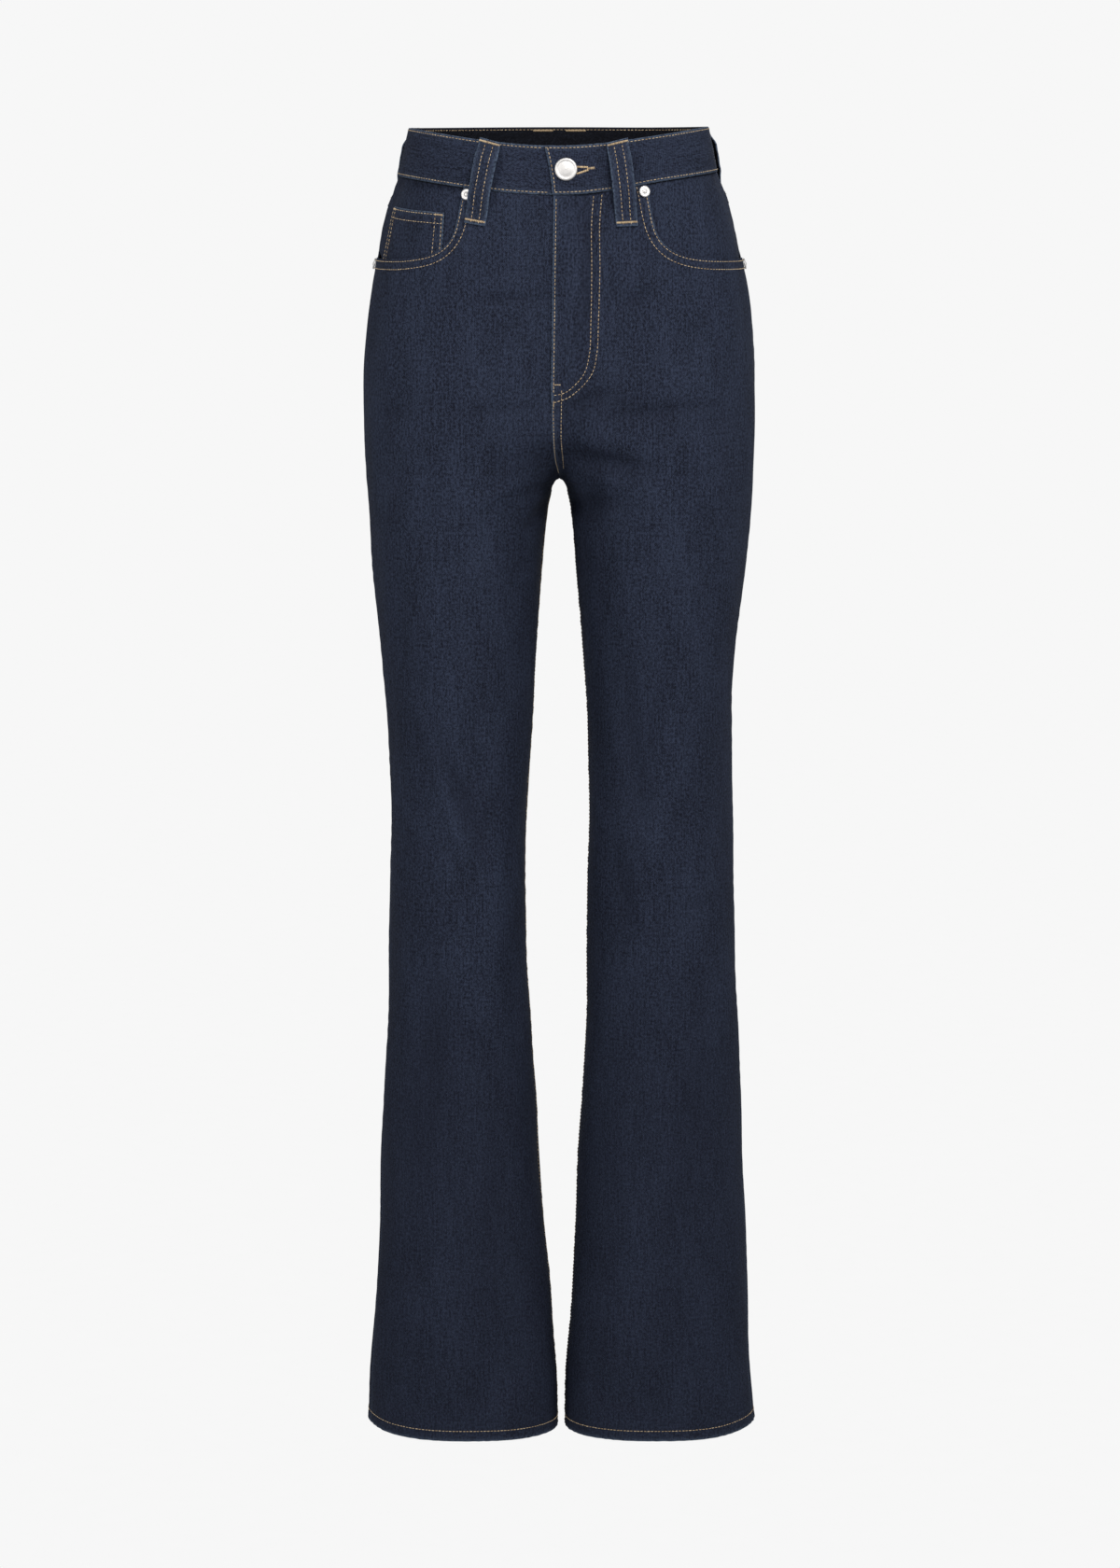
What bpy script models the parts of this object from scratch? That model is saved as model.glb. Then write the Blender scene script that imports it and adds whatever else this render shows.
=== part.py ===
"""Bootcut jeans, filled out as worn, with the waist and both hems open.

Blender 4.5, metres, +Z up, the front faces -Y.  The origin is at the middle of the
waistband, where the wearer holds the jeans up.  The tables below are in millimetres.

Every cloth piece is a wall on one shared surface.  A place on that surface has a height z
and a ring place g on one leg's side: -1 at the centre front (the inseam below the crotch),
0 at the side seam and 1 at the centre back (again the inseam).  Past -1 or 1 it runs on
over the centre line to the other side.
"""
import bpy
import numpy as np
from mathutils import Matrix, Vector

MM = 0.001

# Driving sizes
CLOTH = 1.5              # denim wall
BAND_WALL = 2.6          # two layers and the seam inside the waistband
SEAM_GAP = 0.3           # between pieces at every seam
BAND_HEIGHT = 39.6
BAND_LIFT = 0.8          # the band stands proud of the panels
BAND_TOP_SIDE = 20.0     # height of the band's top edge over the side seam
FRONT_DIP = 14.6         # how far that edge falls at the centre front
BACK_RISE = 1.0          # how far it rises at the centre back
CROTCH = -272.5
HEM = -1101.6
HEM_DEPTH = 10.0
HEM_FOLD = 1.3           # the turned-up layer inside the hem
HEM_DROP = 5.0           # the hem hangs lower at the inseam
FLY_END = -198.0

# One row for each cross-section of the jeans
SECTION_COLUMNS = ("z", "out_right", "in_right", "out_left", "in_left",
                   "front", "back", "mid", "square", "seam")
SECTIONS = np.array((
    (22.0, 124.4, 0.0, 123.2, 0.0, -97.0, 93.0, 0.0, 2.35, 0.0),
    (0.0, 129.8, 0.0, 127.8, 0.0, -98.5, 96.0, 0.0, 2.35, 0.0),
    (-20.0, 134.5, 0.0, 131.6, 0.0, -100.0, 99.0, 0.0, 2.35, -1.0),
    (-40.0, 141.5, 0.0, 140.0, 0.0, -102.0, 103.0, 1.0, 2.35, -2.0),
    (-60.0, 147.0, 0.0, 146.4, 0.0, -104.0, 107.0, 2.0, 2.35, -3.0),
    (-85.0, 152.3, 0.0, 152.3, 0.0, -106.0, 111.0, 3.0, 2.35, -4.0),
    (-110.0, 157.5, 0.0, 157.2, 0.0, -107.5, 115.0, 4.0, 2.35, -4.0),
    (-145.0, 161.9, 0.0, 161.7, 0.0, -108.5, 119.0, 5.0, 2.35, -3.0),
    (-185.0, 164.1, 0.0, 164.4, 0.0, -108.0, 121.0, 6.0, 2.35, -2.0),
    (-225.0, 164.6, 0.0, 165.3, 0.0, -104.5, 119.0, 6.0, 2.3, 0.0),
    (-272.5, 163.7, 0.0, 164.0, 0.0, -98.0, 109.0, 5.0, 2.25, 2.0),
    (-283.0, 163.1, 6.7, 163.3, 6.2, -97.0, 106.0, 4.0, 2.25, 3.0),
    (-303.0, 161.9, 11.0, 161.7, 10.1, -94.5, 101.0, 3.0, 2.2, 4.0),
    (-342.0, 159.0, 15.3, 158.2, 14.7, -90.0, 92.0, 1.0, 2.2, 5.0),
    (-382.0, 154.9, 18.0, 153.9, 18.0, -86.0, 84.0, -1.0, 2.2, 6.0),
    (-422.0, 150.6, 20.2, 150.0, 20.6, -82.0, 77.0, -3.0, 2.2, 7.0),
    (-462.0, 147.3, 22.2, 147.5, 22.7, -78.5, 72.0, -4.0, 2.2, 8.0),
    (-502.0, 145.6, 24.6, 146.6, 24.2, -75.0, 68.0, -5.0, 2.2, 8.0),
    (-584.0, 144.4, 28.8, 148.0, 26.0, -69.5, 64.0, -4.0, 2.2, 8.0),
    (-665.0, 145.8, 28.8, 151.1, 24.8, -65.5, 65.0, -1.0, 2.2, 9.0),
    (-748.0, 148.8, 25.3, 154.8, 22.2, -62.5, 68.0, 2.0, 2.2, 10.0),
    (-831.0, 152.7, 19.4, 157.8, 18.8, -60.5, 71.0, 4.0, 2.2, 12.0),
    (-914.0, 157.3, 13.7, 161.4, 15.1, -59.0, 73.0, 5.0, 2.2, 14.0),
    (-998.0, 161.4, 7.9, 165.0, 10.5, -58.0, 74.0, 6.0, 2.2, 15.0),
    (-1083.0, 166.8, 1.9, 170.2, 5.1, -57.5, 74.5, 7.0, 2.2, 16.0),
    (-1108.0, 169.0, 1.4, 172.6, 4.8, -57.5, 75.0, 7.0, 2.2, 16.0)))

# Largest folds: a trough (depth < 0) or ridge along a line from one place to another
# side, start (g, z), end (g, z), width, depth
FOLDS = (
    ("left", -0.97, -248.0, -0.62, -262.0, 9.0, -3.0),
    ("left", -0.96, -290.0, -0.70, -300.0, 9.0, -2.5),
    ("left", -0.90, -205.0, -0.30, -222.0, 12.0, -1.5),
    ("left", -0.62, -425.0, -0.55, -560.0, 12.0, -2.0),
    ("left", -0.60, -585.0, -0.66, -640.0, 9.0, -2.0),
    ("left", 0.50, -600.0, 0.80, -560.0, 12.0, -3.0),
    ("left", 0.35, -655.0, 0.75, -640.0, 12.0, -2.5),
    ("left", 0.60, -262.0, 0.97, -240.0, 12.0, -3.0),
    ("right", -0.97, -246.0, -0.66, -256.0, 9.0, -2.5),
    ("right", -0.96, -292.0, -0.74, -308.0, 9.0, -2.5),
    ("right", -0.30, -470.0, -0.62, -588.0, 11.0, -3.0),
    ("right", -0.66, -580.0, -0.60, -730.0, 12.0, 2.0),
    ("right", -0.40, -690.0, -0.30, -850.0, 14.0, -2.0),
    ("right", 0.45, -575.0, 0.80, -540.0, 12.0, -3.0),
    ("right", 0.30, -640.0, 0.72, -620.0, 12.0, -2.5),
    ("right", 0.58, -270.0, 0.97, -245.0, 12.0, -3.0))

# Fall of the clipped leg rings above the crotch, and the rounding of the centre lines
RISE_FALL = 0.0049
FRONT_ROUND = (22.0, 60.0)      # radius, and the height above the crotch where it is full
BACK_ROUND = (34.0, 90.0)
ARCH_ROOT = 2.15                # the arch between the legs opens with this times a root
ARCH_FALL = 0.66                # and this much of it is in the rings already
ARCH_POWER = 8                  # how tightly the arch keeps to the inseam
RING_SAMPLES = 97
SWAY_HEIGHTS = (-85.0, -27.0, 12.0)
SWAY_RISE = (0.0, 4.2, 1.2)

SIDES = {"left": 1.0, "right": -1.0}
OTHER = {"left": "right", "right": "left"}


def smoothstep(low, high, value):
    t = np.clip((value - low) / (high - low), 0.0, 1.0)
    return t * t * (3 - 2 * t)


# ---------------------------------------------------------------- the shared surface

def column(name, z):
    """A monotone cubic through one column of SECTIONS."""
    x = -SECTIONS[:, 0]
    y = SECTIONS[:, SECTION_COLUMNS.index(name)]
    q = -np.asarray(z, float)
    step = np.diff(x)
    slope = np.diff(y) / step
    same = slope[:-1] * slope[1:] > 0
    near = 2 * step[1:] + step[:-1]
    far = step[1:] + 2 * step[:-1]
    first = np.where(same, slope[:-1], 1.0)
    second = np.where(same, slope[1:], 1.0)
    tangent = np.zeros_like(y)
    tangent[1:-1] = np.where(same, (near + far) / (near / first + far / second), 0.0)
    tangent[0] = slope[0]
    tangent[-1] = slope[-1]
    i = np.clip(np.searchsorted(x, q) - 1, 0, len(x) - 2)
    t = (q - x[i]) / step[i]
    return ((2 * t**3 - 3 * t**2 + 1) * y[i] + (t**3 - 2 * t**2 + t) * step[i] * tangent[i]
            + (3 * t**2 - 2 * t**3) * y[i + 1] + (t**3 - t**2) * step[i] * tangent[i + 1])


def clipped_reach(out, z):
    """Above the crotch a leg's ring runs past the centre plane, where it is clipped."""
    return -out * (1 - np.exp(-RISE_FALL * np.maximum(z - CROTCH, 0.0)))


def fill_inner_columns():
    """The rows above the crotch take their inner reach from clipped_reach."""
    z = SECTIONS[:, 0]
    for side in SIDES:
        out = SECTIONS[:, SECTION_COLUMNS.index("out_" + side)]
        inner = SECTION_COLUMNS.index("in_" + side)
        SECTIONS[:, inner] = np.where(z > CROTCH, clipped_reach(out, z), SECTIONS[:, inner])


fill_inner_columns()


def ring(z, side):
    """Rings at the heights z, from the inner front round the side to the inner back."""
    out = column("out_" + side, z)
    inside = np.where(z >= CROTCH, clipped_reach(out, z), column("in_" + side, z))
    below = np.maximum(CROTCH - z, 0.0)
    arch = np.maximum(ARCH_ROOT * np.sqrt(below) - ARCH_FALL * below, 0.0)[:, None]
    mid = column("mid", z)
    power = column("square", z)[:, None]
    halves = []
    for name, (radius, full) in (("front", FRONT_ROUND), ("back", BACK_ROUND)):
        depth = column(name, z) - mid
        rounding = radius * smoothstep(0.0, full, z - CROTCH)
        reach = np.hypot(out, rounding)
        half = (reach - inside) / 2
        centre = (reach + inside) / 2
        clip = np.clip((rounding - centre) / half, -1.0, 1.0)
        last = np.arccos(np.sign(clip) * np.abs(clip) ** (power[:, 0] / 2))
        last = np.where(z >= CROTCH, last, np.pi)
        angle = last[:, None] * np.linspace(0.0, 1.0, RING_SAMPLES)[None, :]
        cosine = np.cos(angle)
        sine = np.clip(np.sin(angle), 0.0, 1.0)
        wide = centre[:, None] + half[:, None] * np.sign(cosine) * np.abs(cosine) ** (2 / power)
        round_x = np.sqrt(np.maximum(wide**2 - rounding[:, None] ** 2, 0.0))
        share = (reach[:, None] - wide) / (reach - inside)[:, None]
        x = np.where(z[:, None] >= CROTCH, round_x, wide + arch * share**ARCH_POWER)
        y = mid[:, None] + depth[:, None] * sine ** (2 / power)
        halves.append((x, y))
    x = np.concatenate([halves[0][0][:, ::-1], halves[1][0][:, 1:]], 1)
    y = np.concatenate([halves[0][1][:, ::-1], halves[1][1][:, 1:]], 1)
    run = np.cumsum(np.hypot(np.diff(x, axis=1), np.diff(y, axis=1)), 1)
    return x, y, np.concatenate([np.zeros((len(z), 1)), run], 1)


def sway(z, g, side):
    """Rise of the left half of the waist, which sits a little higher at its front."""
    if side == "right":
        return np.zeros(z.shape)
    high = np.interp(z, SWAY_HEIGHTS, SWAY_RISE)
    return high * smoothstep(-0.98, -0.55, g) * (1 - smoothstep(0.05, 0.7, g))


def lengths(z, side):
    """Front and back length of the rings at z, from the inner edge to the side seam."""
    heights, back_to = np.unique(np.round(z, 4), return_inverse=True)
    run = ring(heights, side)[2]
    seam = run[:, RING_SAMPLES - 1] - column("seam", heights)
    return seam[back_to], (run[:, -1] - seam)[back_to]


def base(z, g, side):
    """Points of the plain surface in millimetres, without folds."""
    z, g = np.broadcast_arrays(np.asarray(z, float), np.asarray(g, float))
    shape = z.shape
    z = z.ravel()
    g = g.ravel()
    over = np.abs(g) > 1
    points = np.empty((z.size, 3))
    for mask, use in ((~over, side), (over, OTHER[side])):
        if not mask.any():
            continue
        place = np.where(np.abs(g[mask]) > 1, np.sign(g[mask]) * 2 - g[mask], g[mask])
        heights, back_to = np.unique(np.round(z[mask], 4), return_inverse=True)
        x, y, run = ring(heights, use)
        seam = run[:, RING_SAMPLES - 1] - column("seam", heights)
        total = run[:, -1]
        want = np.where(place < 0, seam[back_to] * (1 + place),
                        seam[back_to] + place * (total - seam)[back_to])
        px = np.empty(place.size)
        py = np.empty(place.size)
        for k in range(len(heights)):
            rows = back_to == k
            px[rows] = np.interp(want[rows], run[k], x[k])
            py[rows] = np.interp(want[rows], run[k], y[k])
        high = z[mask] + sway(z[mask], place, use)
        points[mask] = np.stack([px * SIDES[use], py, high], 1)
    return points.reshape(shape + (3,))


def outward(z, g, side):
    """Unit normals of the plain surface, pointing out of the cloth."""
    z, g = np.broadcast_arrays(np.asarray(z, float), np.asarray(g, float))
    dz = 1.0
    dg = 0.01
    low = np.where(g < -1 + dg, g, g - dg)
    high = np.where(g > 1 - dg, g, g + dg)
    low = np.where(np.abs(g) > 1, g - dg, low)
    high = np.where(np.abs(g) > 1, g + dg, high)
    along = base(z, high, side) - base(z, low, side)
    up = base(z + dz, g, side) - base(z - dz, g, side)
    normal = np.cross(along, up) * SIDES[side]
    centre = (np.abs(np.abs(g) - 1) < 1e-6) & (z > CROTCH)
    normal[..., 0] = np.where(centre, 0.0, normal[..., 0])
    tip = (np.abs(z - CROTCH) < 1.5) & (np.abs(g) > 0.985)
    normal = np.where(tip[..., None], np.array((0.0, 0.0, -1.0)), normal)
    return normal / np.maximum(np.linalg.norm(normal, axis=-1, keepdims=True), 1e-9)


def fold_depth(z, g, side):
    """How far the folds move the surface out (or in) at each place."""
    front, back = lengths(np.atleast_1d(np.asarray(z, float)).ravel(), side)
    front = front.reshape(np.shape(z))
    back = back.reshape(np.shape(z))
    total = np.zeros(np.shape(z))
    for leg, g0, z0, g1, z1, width, depth in FOLDS:
        if leg != side:
            continue
        scale = np.where(np.asarray(g) < 0, front, back)
        ax = (g - g0) * scale
        ay = z - z0
        bx = (g1 - g0) * scale
        by = z1 - z0
        t = np.clip((ax * bx + ay * by) / (bx * bx + by * by), 0.0, 1.0)
        off = np.hypot(ax - t * bx, ay - t * by)
        taper = np.sin(np.pi * np.clip(0.12 + 0.76 * t, 0, 1))
        same_half = (np.sign(g) == np.sign(g0)) | (np.abs(g) < 1e-9)
        total += np.where(same_half, depth * taper * np.exp(-(off / width) ** 2), 0.0)
    return total


def skin(z, g, side, lift=0.0):
    """Points on the folded surface, moved out by lift."""
    z, g, lift = np.broadcast_arrays(np.asarray(z, float), np.asarray(g, float), lift)
    move = (fold_depth(z, g, side) + lift)[..., None]
    return base(z, g, side) + outward(z, g, side) * move


# ---------------------------------------------------------------- lines on the surface

def band_top(g):
    """Height of the waistband's top edge at ring place g."""
    g = np.abs(np.where(np.abs(g) > 1, np.sign(g) * 2 - g, g)) * np.sign(g)
    wave = np.abs(np.sin(np.pi / 2 * g))
    return BAND_TOP_SIDE + np.where(g < 0, -FRONT_DIP * wave**2.5, BACK_RISE * wave**2)


def waist_seam(g):
    """Height of the seam under the waistband."""
    return band_top(g) - BAND_HEIGHT - SEAM_GAP


YOKE_SIDE = -45.5
YOKE_CENTRE = -80.0


def yoke_seam(g):
    """Height of the seam under the yoke, lowest at the centre back."""
    return YOKE_SIDE + (YOKE_CENTRE - YOKE_SIDE) * np.clip(np.abs(g), 0, 1) ** 1.1


POCKET_G = {"left": 0.635, "right": 0.600}   # ring place of the opening at the waist seam
POCKET_BOTTOM = -87.5
POCKET_SQUARE = 5.5
POCKET_ROWS = 13


def pocket_curve(side, count):
    """The opening's edge from the waist seam to the side seam, evenly spaced."""
    reach = POCKET_G[side]
    top = float(waist_seam(np.array(-reach)))
    angle = np.linspace(0.0, np.pi / 2, 240)
    power = 2 / POCKET_SQUARE
    g = -reach * np.cos(angle).clip(0, 1) ** power
    z = top + (POCKET_BOTTOM - top) * np.sin(angle) ** power
    girth = float(lengths(np.array([POCKET_BOTTOM]), side)[0][0])
    run = np.concatenate([[0.0], np.cumsum(np.hypot(np.diff(g) * girth, np.diff(z)))])
    want = np.linspace(0.0, run[-1], count)
    return np.interp(want, run, g), np.interp(want, run, z)


# ---------------------------------------------------------------- making solids

def material(name, colour, roughness, metallic=0.0):
    """A plain Principled BSDF, made once for each name."""
    found = bpy.data.materials.get(name)
    if found:
        return found
    made = bpy.data.materials.new(name)
    made.use_nodes = True
    shader = made.node_tree.nodes["Principled BSDF"]
    shader.inputs["Base Color"].default_value = (*colour, 1.0)
    shader.inputs["Roughness"].default_value = roughness
    shader.inputs["Metallic"].default_value = metallic
    return made


def denim():
    return material("denim", (0.022, 0.028, 0.046), 0.85)


def denim_inside():
    return material("denim_inside", (0.010, 0.011, 0.016), 0.9)


def zip_tape():
    return material("zip_tape", (0.014, 0.016, 0.026), 0.7)


def pale_metal():
    return material("pale_metal", (0.78, 0.74, 0.70), 0.3, 1.0)


def add_mesh(name, points, faces, finish):
    """An object from points in millimetres."""
    mesh = bpy.data.meshes.new(name)
    mesh.from_pydata([tuple(p * MM) for p in points], [], faces)
    mesh.materials.append(finish)
    mesh.validate()
    mesh.shade_smooth()
    mesh.set_sharp_from_angle(angle=np.radians(50))
    made = bpy.data.objects.new(name, mesh)
    bpy.context.scene.collection.objects.link(made)
    return made


def wall(name, outer, inner, side, finish):
    """A closed wall between two grids of points (rows by columns)."""
    rows, columns = outer.shape[:2]
    points = np.concatenate([outer.reshape(-1, 3), inner.reshape(-1, 3)])
    shift = rows * columns
    faces = []
    for r in range(rows - 1):
        for c in range(columns - 1):
            a = r * columns + c
            b = a + 1
            d = a + columns
            e = d + 1
            faces.append((a, d, e, b))
            faces.append((a + shift, b + shift, e + shift, d + shift))
    rim = [c for c in range(columns)]
    rim += [r * columns + columns - 1 for r in range(1, rows)]
    rim += [(rows - 1) * columns + c for c in range(columns - 2, -1, -1)]
    rim += [r * columns for r in range(rows - 2, 0, -1)]
    for here, there in zip(rim, rim[1:] + rim[:1]):
        faces.append((here, there, there + shift, here + shift))
    if side == "right":
        faces = [face[::-1] for face in faces]
    return add_mesh(name, points, faces, finish)


def patch(name, z, g, side, lift, thick, finish):
    """A wall whose outer face lies at lift on the surface and whose wall goes inwards."""
    outer = skin(z, g, side, lift)
    inner = skin(z, g, side, lift - thick)
    return wall(name, outer, inner, side, finish)


# ---------------------------------------------------------------- leg panels

TRUNK_ROWS = (-114.0, -134.0, -154.0, -173.0, FLY_END + 8.0, FLY_END, FLY_END - 14.0, -226.0,
              -240.0, -252.0, -261.0, -268.0, -271.0, CROTCH)
LEG_ROWS = (-275.0, -280.0, -289.0, -304.0, -328.0, -362.0, -405.0, -455.0, -505.0, -550.0,
            -595.0, -645.0, -705.0, -775.0, -845.0, -915.0, -985.0, -1045.0,
            HEM + HEM_DEPTH + 1.0, HEM + HEM_DEPTH, HEM)
PANEL_COLUMNS = 14
EDGE_COLUMNS = (8.5, 16.0)   # extra columns of a front panel, from the centre or inseam
CENTRE_COLUMN = 1.0      # the left front has another here, where it bends round the middle
FLY_UNDER = 4.0          # how far the right front runs under it
FLY_LIFT = 1.9           # how far the lap stands over the right front
FLY_SLOPE = (8.5, 16.0)  # the left front rises to its lap between these
# Height, and how far the left front's edge lies to the wearer's right of the centre line
FRONT_EDGE = np.array(((-36.0, 4.8), (-194.0, 7.0), (-240.0, 5.7), (-256.0, 4.0), (-270.0, 0.0)))


def centre_reach(z, side):
    """How far (mm) a front panel runs past the centre line, negative where it stops short."""
    shift = np.interp(-z, -FRONT_EDGE[:, 0], FRONT_EDGE[:, 1])
    if side == "left":
        return shift - SEAM_GAP / 2
    seam = -shift - SEAM_GAP / 2
    fly = smoothstep(FLY_END, FLY_END + 8.0, z)
    return seam * (1 - fly) + FLY_UNDER * fly


def lap_lift(z, x):
    """Lift of the left front where it laps over the right one at the fly."""
    fly = smoothstep(FLY_END - 14.0, FLY_END, z)
    return FLY_LIFT * fly * (1 - smoothstep(FLY_SLOPE[0], FLY_SLOPE[1], x))


def hem_height(z, g):
    """The lowest rows hang lower at the inseam."""
    low = smoothstep(-1000.0, HEM, z)
    return z - HEM_DROP * low * np.abs(np.clip(g, -1, 1)) ** 3


def cloth_thickness(z):
    """The hem is folded inwards, so its wall is thicker."""
    return CLOTH + HEM_FOLD * (z <= HEM + HEM_DEPTH + 0.01)


def panel_solid(name, z, g, side, lift):
    thick = cloth_thickness(z)
    z = hem_height(z, g)
    outer = skin(z, g, side, lift)
    inner = skin(z, g, side, lift - thick)
    return wall(name, outer, inner, side, denim())


def front_panel(side):
    """Front leg: its top corner is cut away by the pocket opening."""
    curve_g, curve_z = pocket_curve(side, POCKET_ROWS)
    centre_top = float(waist_seam(np.array(-1.0)))
    inner_z = np.linspace(centre_top, -97.0, POCKET_ROWS)
    inner_z = np.concatenate([inner_z, TRUNK_ROWS, LEG_ROWS])
    outer_z = np.concatenate([curve_z, TRUNK_ROWS, LEG_ROWS])
    outer_g = np.concatenate([curve_g, np.zeros(len(inner_z) - POCKET_ROWS)])
    rows = len(inner_z)
    front = lengths(inner_z, side)[0]
    reach = np.where(inner_z > CROTCH, centre_reach(inner_z, side), -SEAM_GAP / 2)
    end = (1 + np.minimum(outer_g, -SEAM_GAP / 2 / front)) * front
    share = np.linspace(0.0, 1.0, PANEL_COLUMNS - len(EDGE_COLUMNS))[None, :]
    wide = EDGE_COLUMNS[-1] * (1 - share) + end[:, None] * share
    away = [-reach[:, None], np.full((rows, 1), EDGE_COLUMNS[0]), wide]
    if side == "left":
        away.insert(1, np.full((rows, 1), CENTRE_COLUMN))
    away = np.concatenate(away, 1)
    g = away / front[:, None] - 1
    u = (away + reach[:, None]) / (end + reach)[:, None]
    z = inner_z[:, None] * (1 - u) + outer_z[:, None] * u
    fade = np.clip(1 - np.arange(rows) / POCKET_ROWS, 0.0, 1.0)[:, None]
    straight = centre_top * (1 - u) + curve_z[0] * u
    z = z + fade**2 * (waist_seam(g[:1]) - straight)
    lift = np.zeros_like(z)
    if side == "left":
        lift = np.where(z > CROTCH, lap_lift(z, away), 0.0)
    return panel_solid("front_" + side, z, g, side, lift)


def back_rows():
    """Heights of the back panel's rows under the yoke seam's deepest point."""
    return np.concatenate([[-60.0, -78.0, -96.0], TRUNK_ROWS, LEG_ROWS])


def back_panel(side):
    """Back leg, from the yoke seam down."""
    row_z = back_rows()
    front, back = lengths(row_z, side)
    u = np.linspace(0.0, 1.0, PANEL_COLUMNS)[None, :]
    start = (SEAM_GAP / 2 / back)[:, None]
    g = start + (1 - 2 * start) * u
    top = yoke_seam(g) - SEAM_GAP
    fade = np.clip((row_z + 176.0) / (row_z[0] + 176.0), 0.0, 1.0)[:, None]
    z = row_z[:, None] + (top - row_z[0]) * fade
    return panel_solid("back_" + side, z, g, side, 0.0)


def yoke(side):
    """Yoke between the waistband and the back panel."""
    rows = 5
    back = float(lengths(np.array([-50.0]), side)[1][0])
    edge = SEAM_GAP / 2 / back
    u = np.linspace(0.0, 1.0, PANEL_COLUMNS)[None, :]
    v = np.linspace(0.0, 1.0, rows)[:, None]
    g = np.broadcast_to(edge + (1 - 2 * edge) * u, (rows, PANEL_COLUMNS))
    z = waist_seam(g) * (1 - v) + yoke_seam(g) * v
    return patch("yoke_" + side, z, g, side, 0.0, CLOTH, denim())


# ---------------------------------------------------------------- waistband and fly

BAND_LAP = BAND_WALL + SEAM_GAP      # the left end stands this far over the right end
BAND_UNDER = 28.0                    # the right end runs this far under it
LAP_SLOPE = (30.0, 37.5)             # the left end rises to its lap between these
LAP_END_TOP = 12.4                   # the left end passes the centre by this at the top
LAP_END_BOTTOM = 5.6                 # and by this at the bottom
BAND_ROWS = 4


def band_stations():
    """Columns round the waistband: side and ring place, from the right end to the left."""
    front = float(lengths(np.array([0.0]), "right")[0][0])
    right = [-1 - BAND_UNDER / front, -1 - BAND_UNDER / front / 2]
    right += list(np.linspace(-1.0, 0.0, 14))
    right += list(np.linspace(0.0, 1.0, 12))[1:]
    left = list(np.linspace(1.0, 0.0, 12))[1:]
    left += list(np.linspace(0.0, -0.76, 9))[1:]
    left += list(-1 + np.array((37.5, 34.0, 30.0, 15.0)) / front)
    stations = [("right", g) for g in right] + [("left", g) for g in left]
    return stations, front


def band_surface(h, side, g, lift):
    """Points at share h of the band's height below its top edge."""
    z = band_top(g) - BAND_HEIGHT * h
    return skin(z, g, side, lift)


def waistband():
    """One strip with its left end lapped over its right end, and the buttonhole."""
    stations, front = band_stations()
    h = np.linspace(0.0, 1.0, BAND_ROWS)
    end = LAP_END_BOTTOM + (LAP_END_TOP - LAP_END_BOTTOM) * (1 - h) ** 1.6
    outer = []
    inner = []
    for side, place in stations:
        g = np.full(BAND_ROWS, place)
        away = (place + 1) * front
        lap = BAND_LAP * (1 - smoothstep(*LAP_SLOPE, away)) if side == "left" and place < 0 else 0.0
        outer.append(band_surface(h, side, g, BAND_LIFT + lap))
        inner.append(band_surface(h, side, g, BAND_LIFT + lap - BAND_WALL))
    for share in (0.5, 1.0):
        g = -1 - end / front * share + (1 - share) * 0.02
        outer.append(band_surface(h, "left", g, BAND_LIFT + BAND_LAP))
        inner.append(band_surface(h, "left", g, BAND_LIFT + BAND_LAP - BAND_WALL))
    outer = np.stack(outer, 1)
    inner = np.stack(inner, 1)
    made = wall("waistband", outer, inner, "right", denim())
    hole = turned("buttonhole_cutter", ((0.0, BAND_LIFT + 0.15), (HOLE_RADIUS, BAND_LIFT + 0.15),
                                        (HOLE_RADIUS, 8.0), (0.0, 8.0)),
                  place_at(BUTTON_Z, BUTTON_G, "left"), pale_metal())
    hole.hide_render = True
    hole.display_type = "WIRE"
    cut = made.modifiers.new("buttonhole", "BOOLEAN")
    cut.operation = "DIFFERENCE"
    cut.solver = "EXACT"
    cut.object = hole
    return made


def fly_strip(name, low, high, top, bottom, lift, thick, finish):
    """A strip behind the fly, from low to high (mm to the wearer's right of the centre)."""
    rows = 9
    z = np.linspace(top, bottom, rows)[:, None]
    front = lengths(z[:, 0], "right")[0][:, None]
    g = -1 + np.linspace(low, high, 5)[None, :] / front
    z = np.broadcast_to(z, g.shape)
    return patch(name, z, g, "right", lift, thick, finish)


# ---------------------------------------------------------------- pockets

FACING_EDGE = -0.76
FACING_BOTTOM = -122.0
FACING_WALL = 1.2
COIN_WALL = 1.1
COIN_G = (-0.53, -0.175)
COIN_TOP = -46.0
COIN_BOTTOM = -112.0
LAYER_GAP = 0.9          # between the front panel and what lies under it
FACING_LIFT = {"left": -CLOTH - LAYER_GAP, "right": -CLOTH - LAYER_GAP - COIN_WALL - 0.5}


def pocket_facing(side):
    """Facing that shows inside the pocket opening."""
    rows = 7
    columns = 14
    front = float(lengths(np.array([-60.0]), side)[0][0])
    u = np.linspace(0.0, 1.0, columns)[None, :]
    v = np.linspace(0.0, 1.0, rows)[:, None]
    g = np.broadcast_to(FACING_EDGE * (1 - u) - SEAM_GAP / 2 / front * u, (rows, columns))
    z = waist_seam(g) * (1 - v) + FACING_BOTTOM * v
    return patch("pocket_facing_" + side, z, g, side, FACING_LIFT[side], FACING_WALL, denim())


def coin_pocket():
    """Small pocket on the wearer's right facing."""
    u = np.linspace(0.0, 1.0, 9)[None, :]
    v = np.linspace(0.0, 1.0, 6)[:, None]
    g = COIN_G[0] * (1 - u) + COIN_G[1] * u
    g, v = np.broadcast_arrays(g, v)
    z = COIN_TOP + (COIN_BOTTOM - COIN_TOP) * v
    return patch("coin_pocket", z, g, "right", -CLOTH - LAYER_GAP, COIN_WALL, denim())


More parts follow.
